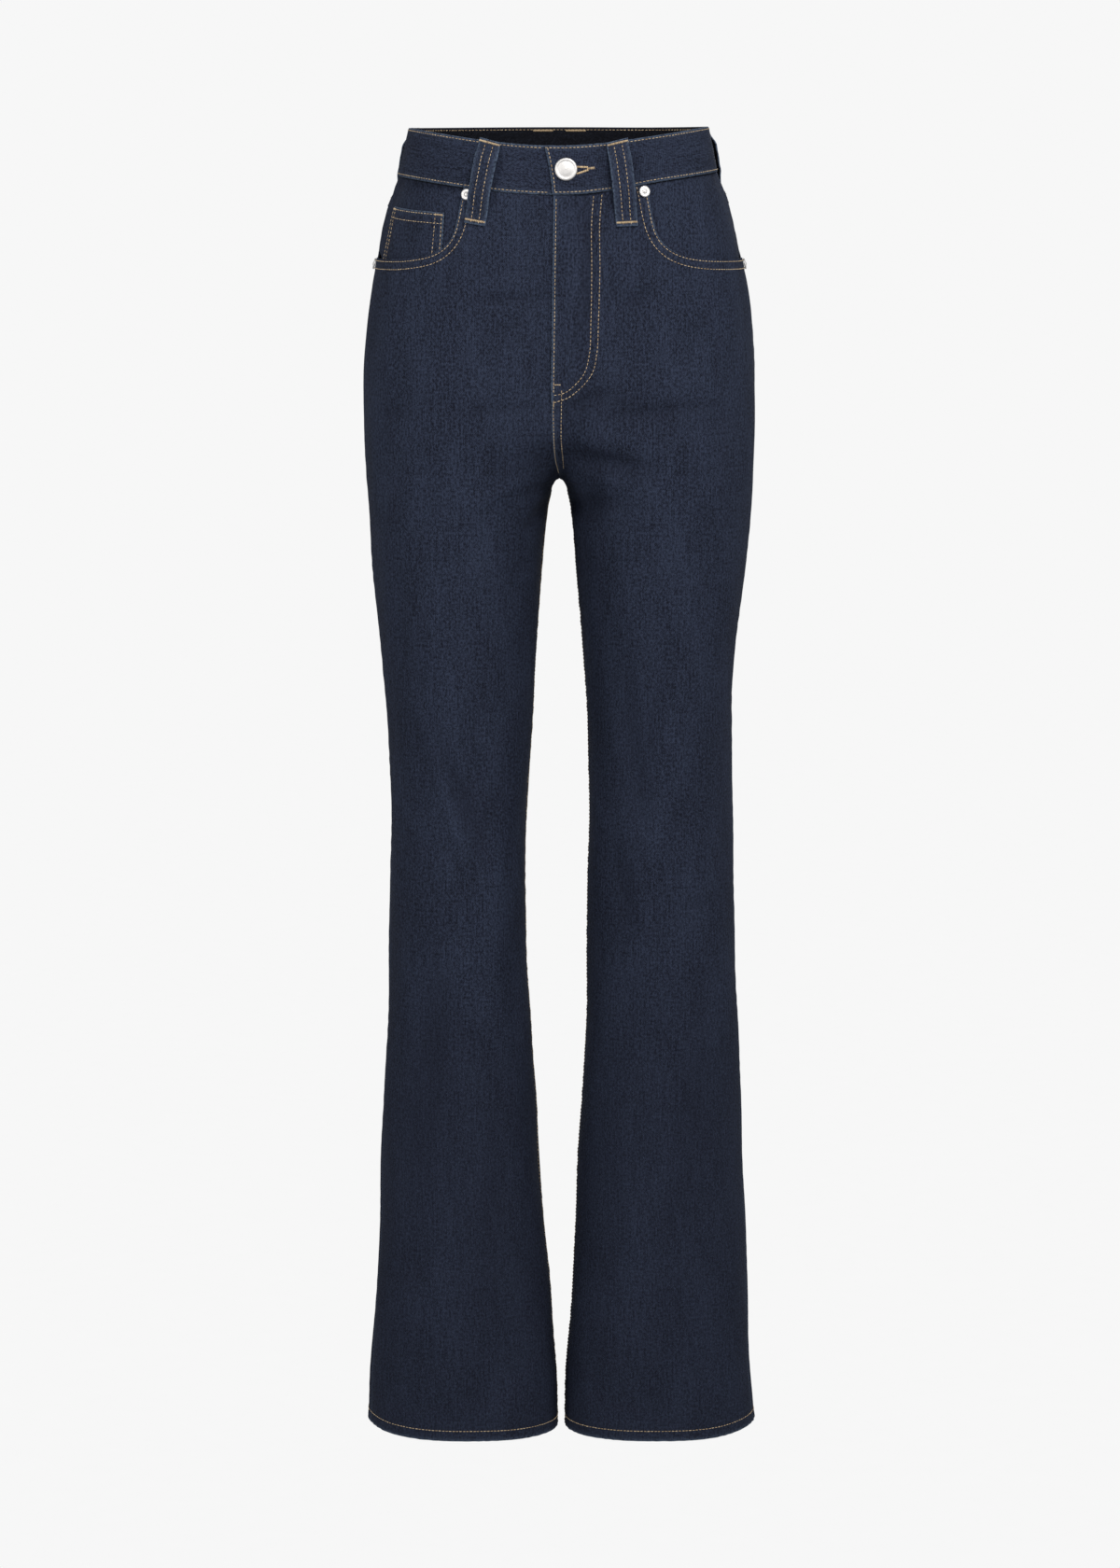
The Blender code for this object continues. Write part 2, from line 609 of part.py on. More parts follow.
BACK_POCKET_G = 0.54
BACK_POCKET_TOP = -88.0
BACK_POCKET_TILT = 6.0           # the top edge falls towards the centre back
BACK_POCKET_HALF = (75.0, 64.0)  # half width at the top and at the lower corners
BACK_POCKET_SIDE = 126.0
BACK_POCKET_POINT = 24.0
BACK_POCKET_WALL = 1.4
BACK_POCKET_GAP = 0.5


def back_pocket(side):
    """Five-cornered patch pocket on the seat."""
    p = np.linspace(-1.0, 1.0, 15)[None, :]
    v = np.linspace(0.0, 1.0, 12)[:, None]
    back = float(lengths(np.array([-150.0]), side)[1][0])
    half = BACK_POCKET_HALF[0] * (1 - v) + BACK_POCKET_HALF[1] * v
    g = BACK_POCKET_G + p * half / back
    top = BACK_POCKET_TOP - BACK_POCKET_TILT * p
    fall = BACK_POCKET_SIDE + BACK_POCKET_POINT * (1 - np.abs(p))
    z = top - fall * v
    return patch("back_pocket_" + side, z, g, side, BACK_POCKET_GAP + BACK_POCKET_WALL,
                 BACK_POCKET_WALL, denim())


# ---------------------------------------------------------------- belt loops

LOOP_WIDTH = 18.0
LOOP_WALL = 1.8
LOOP_STAND = 6.0         # clear way for a belt behind a loop
LOOP_OVER = {"front": 0.8, "back": -0.5}     # height of a loop's top end over the band's edge
# name, side, top's distance from the centre line, slant away from it, half, length,
# slope of the top end and of the bottom end
LOOPS = (
    ("belt_loop_front_left", "left", 46.7, 8.5, "front", 69.4, 0.22, 0.0),
    ("belt_loop_front_right", "right", 56.0, 13.0, "front", 68.0, 0.26, 0.16),
    ("belt_loop_side_left", "left", 148.0, 9.0, "back", 64.0, 0.0, 0.0),
    ("belt_loop_side_right", "right", 143.0, 9.0, "back", 64.0, 0.0, 0.0),
    ("belt_loop_back_left", "left", 14.0, 2.0, "back", 64.0, 0.0, 0.0),
    ("belt_loop_back_right", "right", 14.0, 2.0, "back", 64.0, 0.0, 0.0))


def loop_lift(t):
    """Lift of a loop's inner face at share t of its length."""
    ends = BAND_LIFT + SEAM_GAP + (SEAM_GAP - BAND_LIFT - SEAM_GAP) * smoothstep(0.62, 0.92, t)
    bow = smoothstep(0.05, 0.28, t) * (1 - smoothstep(0.60, 0.93, t))
    return ends + LOOP_STAND * bow


def belt_loop(name, side, away, slant, half, length, slope_top, slope_bottom):
    """A folded strip that stands off the band between its two bar-tacked ends."""
    t = np.linspace(0.0, 1.0, 15)[:, None]
    w = np.linspace(-0.5, 0.5, 3)[None, :] * LOOP_WIDTH
    sign = -1.0 if half == "front" else 1.0
    pick = 0 if half == "front" else 1
    middle = away + slant * t
    waist = lengths(np.array([0.0]), side)[pick][0]
    top = float(band_top(np.array(sign * (1 - away / waist))))
    heights = top + LOOP_OVER[half] - length * t
    girth = lengths(heights[:, 0], side)[pick][:, None]
    g = sign * (1 - (middle - sign * w) / girth)
    z = heights + w * (slope_top * (1 - t) + slope_bottom * t)
    lift = np.broadcast_to(loop_lift(t), g.shape)
    outer = skin(z, g, side, lift + LOOP_WALL)
    inner = skin(z, g, side, lift)
    return wall(name, outer, inner, side, denim())


# ---------------------------------------------------------------- metal

BUTTON_Z = -13.8
BUTTON_G = -0.972
HOLE_RADIUS = 3.0
SHANK_RADIUS = 2.6
BUTTON_RADIUS = 9.2
RIVET_RADIUS = 4.75
BUTTON_SIDES = 24
RIVET_SIDES = 14


def place_at(z, g, side):
    """Matrix with its Z axis pointing out of the cloth at a place on the surface."""
    z = np.array(z)
    g = np.array(g)
    origin = Vector(skin(z, g, side) * MM)
    out = Vector(outward(z, g, side))
    across = Vector((0.0, 0.0, 1.0)).cross(out).normalized()
    up = out.cross(across)
    turn = Matrix((across, up, out)).transposed().to_4x4()
    return Matrix.Translation(origin) @ turn


def turned(name, profile, matrix, finish, sides=BUTTON_SIDES):
    """A closed body turned round Z; the profile runs from axis to axis, bottom to top."""
    rings = profile[1:-1]
    points = [(0.0, 0.0, profile[0][1])]
    for radius, height in rings:
        for k in range(sides):
            angle = 2 * np.pi * k / sides
            points.append((radius * np.cos(angle), radius * np.sin(angle), height))
    points.append((0.0, 0.0, profile[-1][1]))
    last = len(points) - 1
    faces = []
    for k in range(sides):
        n = (k + 1) % sides
        faces.append((0, 1 + n, 1 + k))
        for r in range(len(rings) - 1):
            low = 1 + r * sides
            high = low + sides
            faces.append((low + k, low + n, high + n, high + k))
        top = 1 + (len(rings) - 1) * sides
        faces.append((top + k, top + n, last))
    made = add_mesh(name, [np.array(p) for p in points], faces, finish)
    made.matrix_world = matrix
    return made


def button():
    """Domed tack button: its shank stands on the right end, through the left one."""
    seat = BAND_LIFT + SEAM_GAP
    cap = BAND_LIFT + BAND_LAP + SEAM_GAP
    profile = ((0.0, seat), (SHANK_RADIUS, seat), (SHANK_RADIUS, cap), (BUTTON_RADIUS - 0.5, cap),
               (BUTTON_RADIUS, cap + 0.5), (BUTTON_RADIUS, cap + 1.2),
               (BUTTON_RADIUS - 0.6, cap + 1.9), (BUTTON_RADIUS - 1.5, cap + 2.1),
               (BUTTON_RADIUS - 2.2, cap + 1.8), (BUTTON_RADIUS - 3.2, cap + 1.9),
               (3.5, cap + 2.3), (0.0, cap + 2.5))
    return turned("button", profile, place_at(BUTTON_Z, BUTTON_G, "left"), pale_metal())


RIVET_DROP = RIVET_RADIUS + 0.2      # an upper rivet's centre lies this far under the waist seam
LOWER_RIVET_Z = -92.5
RIVETS = (
    ("rivet_front_left", "left", -0.652, None),
    ("rivet_front_right", "right", -0.622, None),
    ("rivet_side_left", "left", -0.070, LOWER_RIVET_Z),
    ("rivet_side_right", "right", -0.070, LOWER_RIVET_Z))


def rivet(name, side, g, z):
    """Domed pocket rivet on the front panel, by default just under the waist seam."""
    if z is None:
        z = float(waist_seam(np.array(g))) - RIVET_DROP
    r = RIVET_RADIUS
    profile = ((0.0, SEAM_GAP), (r - 0.4, SEAM_GAP), (r, 0.9), (r - 0.8, 1.8),
               (r - 2.2, 1.7), (1.3, 2.1), (0.0, 2.3))
    return turned(name, profile, place_at(z, g, side), pale_metal(), RIVET_SIDES)


# ---------------------------------------------------------------- the whole part

def main():
    for old in list(bpy.data.objects):
        bpy.data.objects.remove(old, do_unlink=True)
    for side in SIDES:
        front_panel(side)
        back_panel(side)
        yoke(side)
        pocket_facing(side)
        back_pocket(side)
    coin_pocket()
    waistband()
    fly_strip("zip_fly", -13.0, 13.0, -40.0, -190.0, -CLOTH - SEAM_GAP, 1.2, zip_tape())
    fly_strip("fly_shield", -14.0, 30.0, -38.0, FLY_END, -CLOTH - 1.2 - 2 * SEAM_GAP, 1.2, denim())
    for row in LOOPS:
        belt_loop(*row)
    button()
    for row in RIVETS:
        rivet(*row)


main()
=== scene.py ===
"""Looks of the bootcut jeans: cloth shells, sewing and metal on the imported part.

The cloth lies on the same surface as its solids.  A place on that surface has a height z
and a ring place g on one leg's side: -1 at the centre front (the inseam below the crotch),
0 at the side seam and 1 at the centre back (again the inseam).  Past -1 or 1 it runs on
over the centre line to the other side.  Sizes are in millimetres where nothing else is said.
"lift" is how far a face stands out from the surface, and "calm" takes the puckers away.
"""

import bpy
import numpy as np
from mathutils import Matrix, Vector

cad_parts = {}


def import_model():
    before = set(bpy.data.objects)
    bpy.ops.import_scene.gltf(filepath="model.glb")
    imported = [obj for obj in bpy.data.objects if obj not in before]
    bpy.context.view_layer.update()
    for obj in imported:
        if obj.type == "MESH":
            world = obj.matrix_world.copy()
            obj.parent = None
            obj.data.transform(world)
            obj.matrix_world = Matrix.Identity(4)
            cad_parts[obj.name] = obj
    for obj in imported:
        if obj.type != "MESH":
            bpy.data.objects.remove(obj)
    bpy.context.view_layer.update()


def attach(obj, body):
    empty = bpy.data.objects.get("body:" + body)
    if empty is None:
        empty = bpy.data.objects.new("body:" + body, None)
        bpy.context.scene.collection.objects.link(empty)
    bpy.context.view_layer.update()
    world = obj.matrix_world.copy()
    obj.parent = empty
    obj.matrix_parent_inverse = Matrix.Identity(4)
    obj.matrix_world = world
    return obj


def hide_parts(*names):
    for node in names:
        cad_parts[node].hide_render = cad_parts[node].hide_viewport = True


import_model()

MM = 0.001

# Driving sizes
CLOTH = 1.5              # denim wall
BAND_WALL = 2.6          # two layers and the seam inside the waistband
SEAM_GAP = 0.3           # between layers, and under the waistband's and yoke's seams
BAND_HEIGHT = 39.6
BAND_LIFT = 0.8          # the band stands proud of the panels
BAND_TOP_SIDE = 20.0     # height of the band's top edge over the side seam
FRONT_DIP = 14.6         # how far that edge falls at the centre front
BACK_RISE = 1.0          # how far it rises at the centre back
CROTCH = -272.5
HEM = -1101.6
HEM_DEPTH = 10.0
HEM_FOLD = 1.3           # the turned-up layer inside the hem
HEM_DROP = 5.0           # the hem hangs lower at the inseam
FLY_END = -198.0

# One row for each cross-section of the jeans
SECTION_COLUMNS = ("z", "out_right", "in_right", "out_left", "in_left",
                   "front", "back", "mid", "square", "seam")
SECTIONS = np.array((
    (22, 124.4, 0, 123.2, 0, -97, 93, 0, 2.35, 0), (0, 129.8, 0, 127.8, 0, -98.5, 96, 0, 2.35, 0),
    (-20, 134.5, 0, 131.6, 0, -100, 99, 0, 2.35, -1), (-40, 141.5, 0, 140, 0, -102, 103, 1, 2.35, -2),
    (-60, 147, 0, 146.4, 0, -104, 107, 2, 2.35, -3), (-85, 152.3, 0, 152.3, 0, -106, 111, 3, 2.35, -4),
    (-110, 157.5, 0, 157.2, 0, -107.5, 115, 4, 2.35, -4),
    (-145, 161.9, 0, 161.7, 0, -108.5, 119, 5, 2.35, -3),
    (-185, 164.1, 0, 164.4, 0, -108, 121, 6, 2.35, -2), (-225, 164.6, 0, 165.3, 0, -104.5, 119, 6, 2.3, 0),
    (-272.5, 163.7, 0, 164, 0, -98, 109, 5, 2.25, 2), (-283, 163.1, 6.7, 163.3, 6.2, -97, 106, 4, 2.25, 3),
    (-303, 161.9, 11, 161.7, 10.1, -94.5, 101, 3, 2.2, 4),
    (-342, 159, 15.3, 158.2, 14.7, -90, 92, 1, 2.2, 5), (-382, 154.9, 18, 153.9, 18, -86, 84, -1, 2.2, 6),
    (-422, 150.6, 20.2, 150, 20.6, -82, 77, -3, 2.2, 7),
    (-462, 147.3, 22.2, 147.5, 22.7, -78.5, 72, -4, 2.2, 8),
    (-502, 145.6, 24.6, 146.6, 24.2, -75, 68, -5, 2.2, 8),
    (-584, 144.4, 28.8, 148, 26, -69.5, 64, -4, 2.2, 8),
    (-665, 145.8, 28.8, 151.1, 24.8, -65.5, 65, -1, 2.2, 9),
    (-748, 148.8, 25.3, 154.8, 22.2, -62.5, 68, 2, 2.2, 10),
    (-831, 152.7, 19.4, 157.8, 18.8, -60.5, 71, 4, 2.2, 12),
    (-914, 157.3, 13.7, 161.4, 15.1, -59, 73, 5, 2.2, 14),
    (-998, 161.4, 7.9, 165, 10.5, -58, 74, 6, 2.2, 15),
    (-1083, 166.8, 1.9, 170.2, 5.1, -57.5, 74.5, 7, 2.2, 16),
    (-1108, 169, 1.4, 172.6, 4.8, -57.5, 75, 7, 2.2, 16)))

# Folds of each leg: a trough (depth < 0) or a ridge along a line from one place to another,
# as start g, z, end g, z, width and depth.  The first eight are the largest
FOLDS = {
    "left": (
        (-0.97, -248, -0.62, -262, 9, -3), (-0.96, -290, -0.70, -300, 9, -2.5),
        (-0.90, -205, -0.30, -222, 12, -1.5), (-0.62, -425, -0.55, -560, 12, -2),
        (-0.60, -585, -0.66, -640, 9, -2), (0.50, -600, 0.80, -560, 12, -3),
        (0.35, -655, 0.75, -640, 12, -2.5), (0.60, -262, 0.97, -240, 12, -3),
        (-0.905, -40, -0.935, -152, 4.4, -2.4), (-0.965, -50, -0.975, -150, 6, 1.2),
        (-0.777, -125.1, -0.656, -109.5, 4.8, -2.5), (-0.86, -120, -0.74, -112, 7, -0.8),
        (-0.975, -206.7, -0.80, -193, 6.5, -2.3), (-0.851, -215.7, -0.444, -204.6, 4.8, -1.9),
        (-0.977, -250, -0.66, -255.5, 6, -2.2), (-0.965, -232, -0.712, -234.5, 7, 0.9),
        (-0.900, -291, -0.642, -288, 7.5, -3.6), (-0.92, -322, -0.66, -352, 10, -0.8),
        (-0.747, -355.7, -0.721, -406.4, 8, -1.1), (-0.419, -431.7, -0.491, -515.3, 7, 1.1),
        (-0.470, -430, -0.530, -510, 7, -0.9), (-0.491, -515.3, -0.521, -607.9, 7, 1.1),
        (-0.695, -573.7, -0.616, -653.2, 8, -1.4), (-0.407, -629.8, -0.188, -625.8, 6, -1.2),
        (-0.30, -700, -0.36, -900, 13, -0.9), (-0.55, -880, -0.60, -1020, 14, 0.8),
        (0.40, -500, 0.62, -515, 9, -1.2), (0.55, -700, 0.50, -860, 13, -1.1),
        (0.80, -300, 0.96, -285, 7, -1.4), (0.35, -240, 0.60, -262, 9, -0.9)),
    "right": (
        (-0.97, -246, -0.66, -256, 9, -2.5), (-0.96, -292, -0.74, -308, 9, -2.5),
        (-0.30, -470, -0.62, -588, 11, -3), (-0.66, -580, -0.60, -730, 12, 2),
        (-0.40, -690, -0.30, -850, 14, -2), (0.45, -575, 0.80, -540, 12, -3),
        (0.30, -640, 0.72, -620, 12, -2.5), (0.58, -270, 0.97, -245, 12, -3),
        (-0.701, -119.2, -0.930, -117.6, 4.6, -2.4), (-0.86, -96, -0.70, -84, 6, -0.4),
        (-0.97, -246, -0.66, -256, 9, 1.8), (-0.527, -290, -0.810, -266.7, 5, 1.6),
        (-0.308, -212.3, -0.466, -215.9, 5, -1.3), (-0.640, -211.8, -0.90, -207, 5, -1.3),
        (-0.92, -322, -0.64, -352, 10, -0.8), (-0.31, -460, -0.51, -582, 7, 2.4),
        (-0.406, -372.5, -0.430, -467.4, 8, 0.9), (-0.284, -334.9, -0.274, -437.6, 9, -0.9),
        (-0.510, -640.2, -0.519, -725.6, 10, 1.1), (-0.647, -640, -0.608, -702, 8, -1.2),
        (-0.66, -820, -0.58, -980, 13, -0.9), (-0.34, -900, -0.40, -1040, 14, 0.7),
        (0.42, -495, 0.66, -512, 9, -1.2), (0.50, -690, 0.56, -850, 13, -1.1),
        (0.78, -305, 0.96, -288, 7, -1.4), (0.32, -245, 0.60, -266, 9, -0.9))}

# Fall of the clipped leg rings above the crotch, and the rounding of the centre lines
RISE_FALL = 0.0049
FRONT_ROUND = (22.0, 60.0)      # radius, and the height above the crotch where it is full
BACK_ROUND = (34.0, 90.0)
ARCH_ROOT = 2.15                # the arch between the legs opens with this times a root
ARCH_FALL = 0.66                # and this much of it is in the rings already
ARCH_POWER = 8                  # how tightly the arch keeps to the inseam
RING_SAMPLES = 97
SWAY_HEIGHTS = (-85.0, -27.0, 12.0)
SWAY_RISE = (0.0, 4.2, 1.2)

SIDES = {"left": 1.0, "right": -1.0}          # the wearer's, with the sign of x
OTHER = {"left": "right", "right": "left"}


def smoothstep(low, high, value):
    t = np.clip((value - low) / (high - low), 0.0, 1.0)
    return t * t * (3 - 2 * t)


def fades(low, high, value):
    """1 below low, 0 above high, smooth between."""
    return 1 - smoothstep(low, high, value)


def arrays(*values):
    """The values as float arrays of one shape."""
    return np.broadcast_arrays(*(np.asarray(value, float) for value in values))


def run_of(points):
    """Length along a line of points, from its start."""
    return np.concatenate([[0.0], np.cumsum(np.linalg.norm(np.diff(points, axis=0), axis=1))])


def hermite(x, y, slope, at):
    """The cubic curve through the values y at x with these slopes, read at the places at."""
    i = np.clip(np.searchsorted(x, at) - 1, 0, len(x) - 2)
    step = x[i + 1] - x[i]
    t = (at - x[i]) / step
    if y.ndim > 1:
        step, t = step[:, None], t[:, None]
    return ((2 * t**3 - 3 * t**2 + 1) * y[i] + (t**3 - 2 * t**2 + t) * step * slope[i]
            + (3 * t**2 - 2 * t**3) * y[i + 1] + (t**3 - t**2) * step * slope[i + 1])


# ---------------------------------------------------------------- the shared surface

def column(name, z):
    """A monotone cubic through one column of SECTIONS."""
    x = -SECTIONS[:, 0]
    y = SECTIONS[:, SECTION_COLUMNS.index(name)]
    step = np.diff(x)
    slope = np.diff(y) / step
    same = slope[:-1] * slope[1:] > 0
    near = 2 * step[1:] + step[:-1]
    far = step[1:] + 2 * step[:-1]
    first = np.where(same, slope[:-1], 1.0)
    second = np.where(same, slope[1:], 1.0)
    inner = np.where(same, (near + far) / (near / first + far / second), 0.0)
    return hermite(x, y, np.concatenate([slope[:1], inner, slope[-1:]]), -np.asarray(z, float))


def clipped_reach(out, z):
    """Above the crotch a leg's ring runs past the centre plane, where it is clipped."""
    return -out * (1 - np.exp(-RISE_FALL * np.maximum(z - CROTCH, 0.0)))


def fill_inner_columns():
    """The rows above the crotch take their inner reach from clipped_reach."""
    z = SECTIONS[:, 0]
    for side in SIDES:
        out = SECTIONS[:, SECTION_COLUMNS.index("out_" + side)]
        inner = SECTION_COLUMNS.index("in_" + side)
        SECTIONS[:, inner] = np.where(z > CROTCH, clipped_reach(out, z), SECTIONS[:, inner])


fill_inner_columns()


def ring(z, side):
    """Rings at the heights z, from the inner front round the side to the inner back."""
    out = column("out_" + side, z)
    high = z >= CROTCH
    inside = np.where(high, clipped_reach(out, z), column("in_" + side, z))
    below = np.maximum(CROTCH - z, 0.0)
    arch = np.maximum(ARCH_ROOT * np.sqrt(below) - ARCH_FALL * below, 0.0)[:, None]
    mid = column("mid", z)[:, None]
    power = column("square", z)[:, None]
    halves = []
    for name, (radius, full) in (("front", FRONT_ROUND), ("back", BACK_ROUND)):
        rounding = radius * smoothstep(0.0, full, z - CROTCH)
        reach = np.hypot(out, rounding)
        half = (reach - inside) / 2
        centre = (reach + inside) / 2
        clip = np.clip((rounding - centre) / half, -1.0, 1.0)
        last = np.arccos(np.sign(clip) * np.abs(clip) ** (power[:, 0] / 2))
        angle = np.where(high, last, np.pi)[:, None] * np.linspace(0.0, 1.0, RING_SAMPLES)
        cosine = np.cos(angle)
        sine = np.clip(np.sin(angle), 0.0, 1.0)
        wide = centre[:, None] + half[:, None] * np.sign(cosine) * np.abs(cosine) ** (2 / power)
        round_x = np.sqrt(np.maximum(wide**2 - rounding[:, None] ** 2, 0.0))
        share = (reach[:, None] - wide) / (reach - inside)[:, None]
        x = np.where(high[:, None], round_x, wide + arch * share**ARCH_POWER)
        y = mid + (column(name, z)[:, None] - mid) * sine ** (2 / power)
        halves.append((x, y))
    x, y = (np.concatenate([first[:, ::-1], second[:, 1:]], 1) for first, second in zip(*halves))
    run = np.cumsum(np.hypot(np.diff(x, axis=1), np.diff(y, axis=1)), 1)
    return x, y, np.concatenate([np.zeros((len(z), 1)), run], 1)


def own_place(g):
    """The place itself, or past -1 and 1 the place on the other side."""
    return np.where(np.abs(g) > 1, np.sign(g) * 2 - g, g)


def sway(z, g, side):
    """Rise of the left half of the waist, which sits a little higher at its front."""
    if side == "right":
        return np.zeros(z.shape)
    high = np.interp(z, SWAY_HEIGHTS, SWAY_RISE)
    return high * smoothstep(-0.98, -0.55, g) * fades(0.05, 0.7, g)


def measured(z, side):
    """Unique heights' rings, each value's row, and their front and back lengths."""
    heights, back_to = np.unique(np.round(z, 4), return_inverse=True)
    x, y, run = ring(heights, side)
    seam = run[:, RING_SAMPLES - 1] - column("seam", heights)
    return x, y, run, back_to, seam[back_to], (run[:, -1] - seam)[back_to]


def lengths(z, side):
    """Front and back length of the rings at z, from the inner edge to the side seam."""
    return measured(z, side)[-2:]


def base(z, g, side):
    """Points of the plain surface, without folds."""
    z, g = arrays(z, g)
    shape = z.shape
    z, g = z.ravel(), g.ravel()
    over = np.abs(g) > 1
    points = np.empty((z.size, 3))
    for mask, use in ((~over, side), (over, OTHER[side])):
        if not mask.any():
            continue
        place = own_place(g[mask])
        x, y, run, back_to, front, back = measured(z[mask], use)
        want = np.where(place < 0, front * (1 + place), front + place * back)
        px, py = np.empty(place.size), np.empty(place.size)
        for k in range(len(run)):
            rows = back_to == k
            px[rows] = np.interp(want[rows], run[k], x[k])
            py[rows] = np.interp(want[rows], run[k], y[k])
        height = z[mask] + sway(z[mask], place, use)
        points[mask] = np.stack([px * SIDES[use], py, height], 1)
    return points.reshape(shape + (3,))


def outward(z, g, side):
    """Unit normals of the plain surface, pointing out of the cloth."""
    z, g = arrays(z, g)
    dz = 1.0
    dg = 0.01
    past = np.abs(g) > 1
    low = np.where((g < -1 + dg) & ~past, g, g - dg)
    high = np.where((g > 1 - dg) & ~past, g, g + dg)
    along = base(z, high, side) - base(z, low, side)
    up = base(z + dz, g, side) - base(z - dz, g, side)
    normal = np.cross(along, up) * SIDES[side]
    centre = (np.abs(np.abs(g) - 1) < 1e-6) & (z > CROTCH)
    normal[..., 0] = np.where(centre, 0.0, normal[..., 0])
    tip = (np.abs(z - CROTCH) < 1.5) & (np.abs(g) > 0.985)
    return unit(np.where(tip[..., None], np.array((0.0, 0.0, -1.0)), normal))


def unit(ways):
    return ways / np.maximum(np.linalg.norm(ways, axis=-1, keepdims=True), 1e-9)


# ---------------------------------------------------------------- lines on the surface

def band_top(g):
    """Height of the waistband's top edge at ring place g."""
    g = own_place(np.asarray(g, float))
    wave = np.abs(np.sin(np.pi / 2 * g))
    return BAND_TOP_SIDE + np.where(g < 0, -FRONT_DIP * wave**2.5, BACK_RISE * wave**2)


def waist_seam(g):
    """Height of the seam under the waistband."""
    return band_top(g) - BAND_HEIGHT - SEAM_GAP


YOKE_SIDE = -45.5
YOKE_CENTRE = -80.0


def yoke_seam(g):
    """Height of the seam under the yoke, lowest at the centre back."""
    return YOKE_SIDE + (YOKE_CENTRE - YOKE_SIDE) * np.clip(np.abs(g), 0, 1) ** 1.1


POCKET_G = {"left": 0.635, "right": 0.600}   # ring place of the opening at the waist seam
POCKET_BOTTOM = -87.5
POCKET_SQUARE = 5.5


def pocket_curve(side, count):
    """The opening's edge from the waist seam to the side seam, evenly spaced."""
    reach = POCKET_G[side]
    top = float(waist_seam(-reach))
    angle = np.linspace(0.0, np.pi / 2, 240)
    power = 2 / POCKET_SQUARE
    g = -reach * np.cos(angle).clip(0, 1) ** power
    z = top + (POCKET_BOTTOM - top) * np.sin(angle) ** power
    front = float(lengths(np.array([POCKET_BOTTOM]), side)[0][0])
    run = run_of(np.stack([g * front, z], 1))
    want = np.linspace(0.0, run[-1], count)
    return np.interp(want, run, g), np.interp(want, run, z)


# ---------------------------------------------------------------- fast reading of the surface

LINES = np.unique(np.round(np.concatenate([
    np.arange(-1120.0, 34.0, 2.0), np.arange(CROTCH - 8.0, CROTCH + 8.0, 0.25)]), 3))
PLACES = np.linspace(-1.0, 1.0, 401)


def sample(side):
    """Points, normals and the front and back lengths on a fine net."""
    z, g = np.meshgrid(LINES, PLACES, indexing="ij")
    front, back = lengths(LINES, side)
    return {"point": base(z, g, side), "normal": outward(z, g, side), "front": front, "back": back}


NET = {side: sample(side) for side in SIDES}


def read(table, z, g):
    """Linear reading of a net's table at heights z and places g."""
    i = np.clip(np.searchsorted(LINES, z) - 1, 0, len(LINES) - 2)
    t = ((z - LINES[i]) / (LINES[i + 1] - LINES[i]))[..., None]
    k = np.clip((g + 1) / 2, 0.0, 1.0) * (len(PLACES) - 1)
    j = np.minimum(k.astype(int), len(PLACES) - 2)
    s = (k - j)[..., None]
    low = table[i, j] * (1 - s) + table[i, j + 1] * s
    high = table[i + 1, j] * (1 - s) + table[i + 1, j + 1] * s
    return low * (1 - t) + high * t


def girth(z, side, half):
    """Length of the front or back of the ring at z."""
    return np.interp(z, LINES, NET[side][half])


def surface(z, g, side):
    """Points and normals at z and g, also past the centre line."""
    over = np.abs(g) > 1
    place = own_place(g)
    found = []
    for table in ("point", "normal"):
        here = read(NET[side][table], z, place)
        if over.any():
            there = read(NET[OTHER[side]][table], z, place)
            here = np.where(over[..., None], there, here)
        found.append(here)
    return found[0], unit(found[1])


def arc(z, g, side):
    """Signed way round from the side seam, negative to the front."""
    return g * np.where(g < 0, girth(z, side, "front"), girth(z, side, "back"))


def crossed(z, g, side, half):
    """The same way measured from the other side's seam, over the centre line."""
    other = OTHER[side]
    if half == "front":
        return -girth(z, other, "front") - (1 + g) * girth(z, side, "front")
    return girth(z, other, "back") + (1 - g) * girth(z, side, "back")


def fold_relief(z, g, side):
    """Troughs and ridges of all the folds, also those that reach over the centre line."""
    total = np.zeros(z.shape)
    own = arc(z, g, side)
    over = {half: crossed(z, g, side, half) for half in ("front", "back")}
    for leg, (g0, z0, g1, z1, width, depth) in [(leg, row) for leg in SIDES for row in FOLDS[leg]]:
        a0 = arc(np.array(z0), np.array(g0), leg)
        bx = arc(np.array(z1), np.array(g1), leg) - a0
        by = z1 - z0
        ax = (own if leg == side else over["front" if g0 < 0 else "back"]) - a0
        ay = z - z0
        t = np.clip((ax * bx + ay * by) / (bx * bx + by * by), 0.0, 1.0)
        off = (ax - t * bx) ** 2 + (ay - t * by) ** 2
        amount = depth * np.sin(np.pi * (0.12 + 0.76 * t)) * np.exp(-off / width**2)
        total += amount if leg == side else np.where(z > CROTCH, amount, 0.0)
    return total


def wander(s, length, turn):
    """An uneven wave along a seam, from -1 to 1."""
    return (np.sin(2 * np.pi * s / length + turn + 1.3 * np.sin(2 * np.pi * s / (length * 3.7) + turn))
            * (0.6 + 0.4 * np.sin(2 * np.pi * s / (length * 5.3) + 2 * turn)))


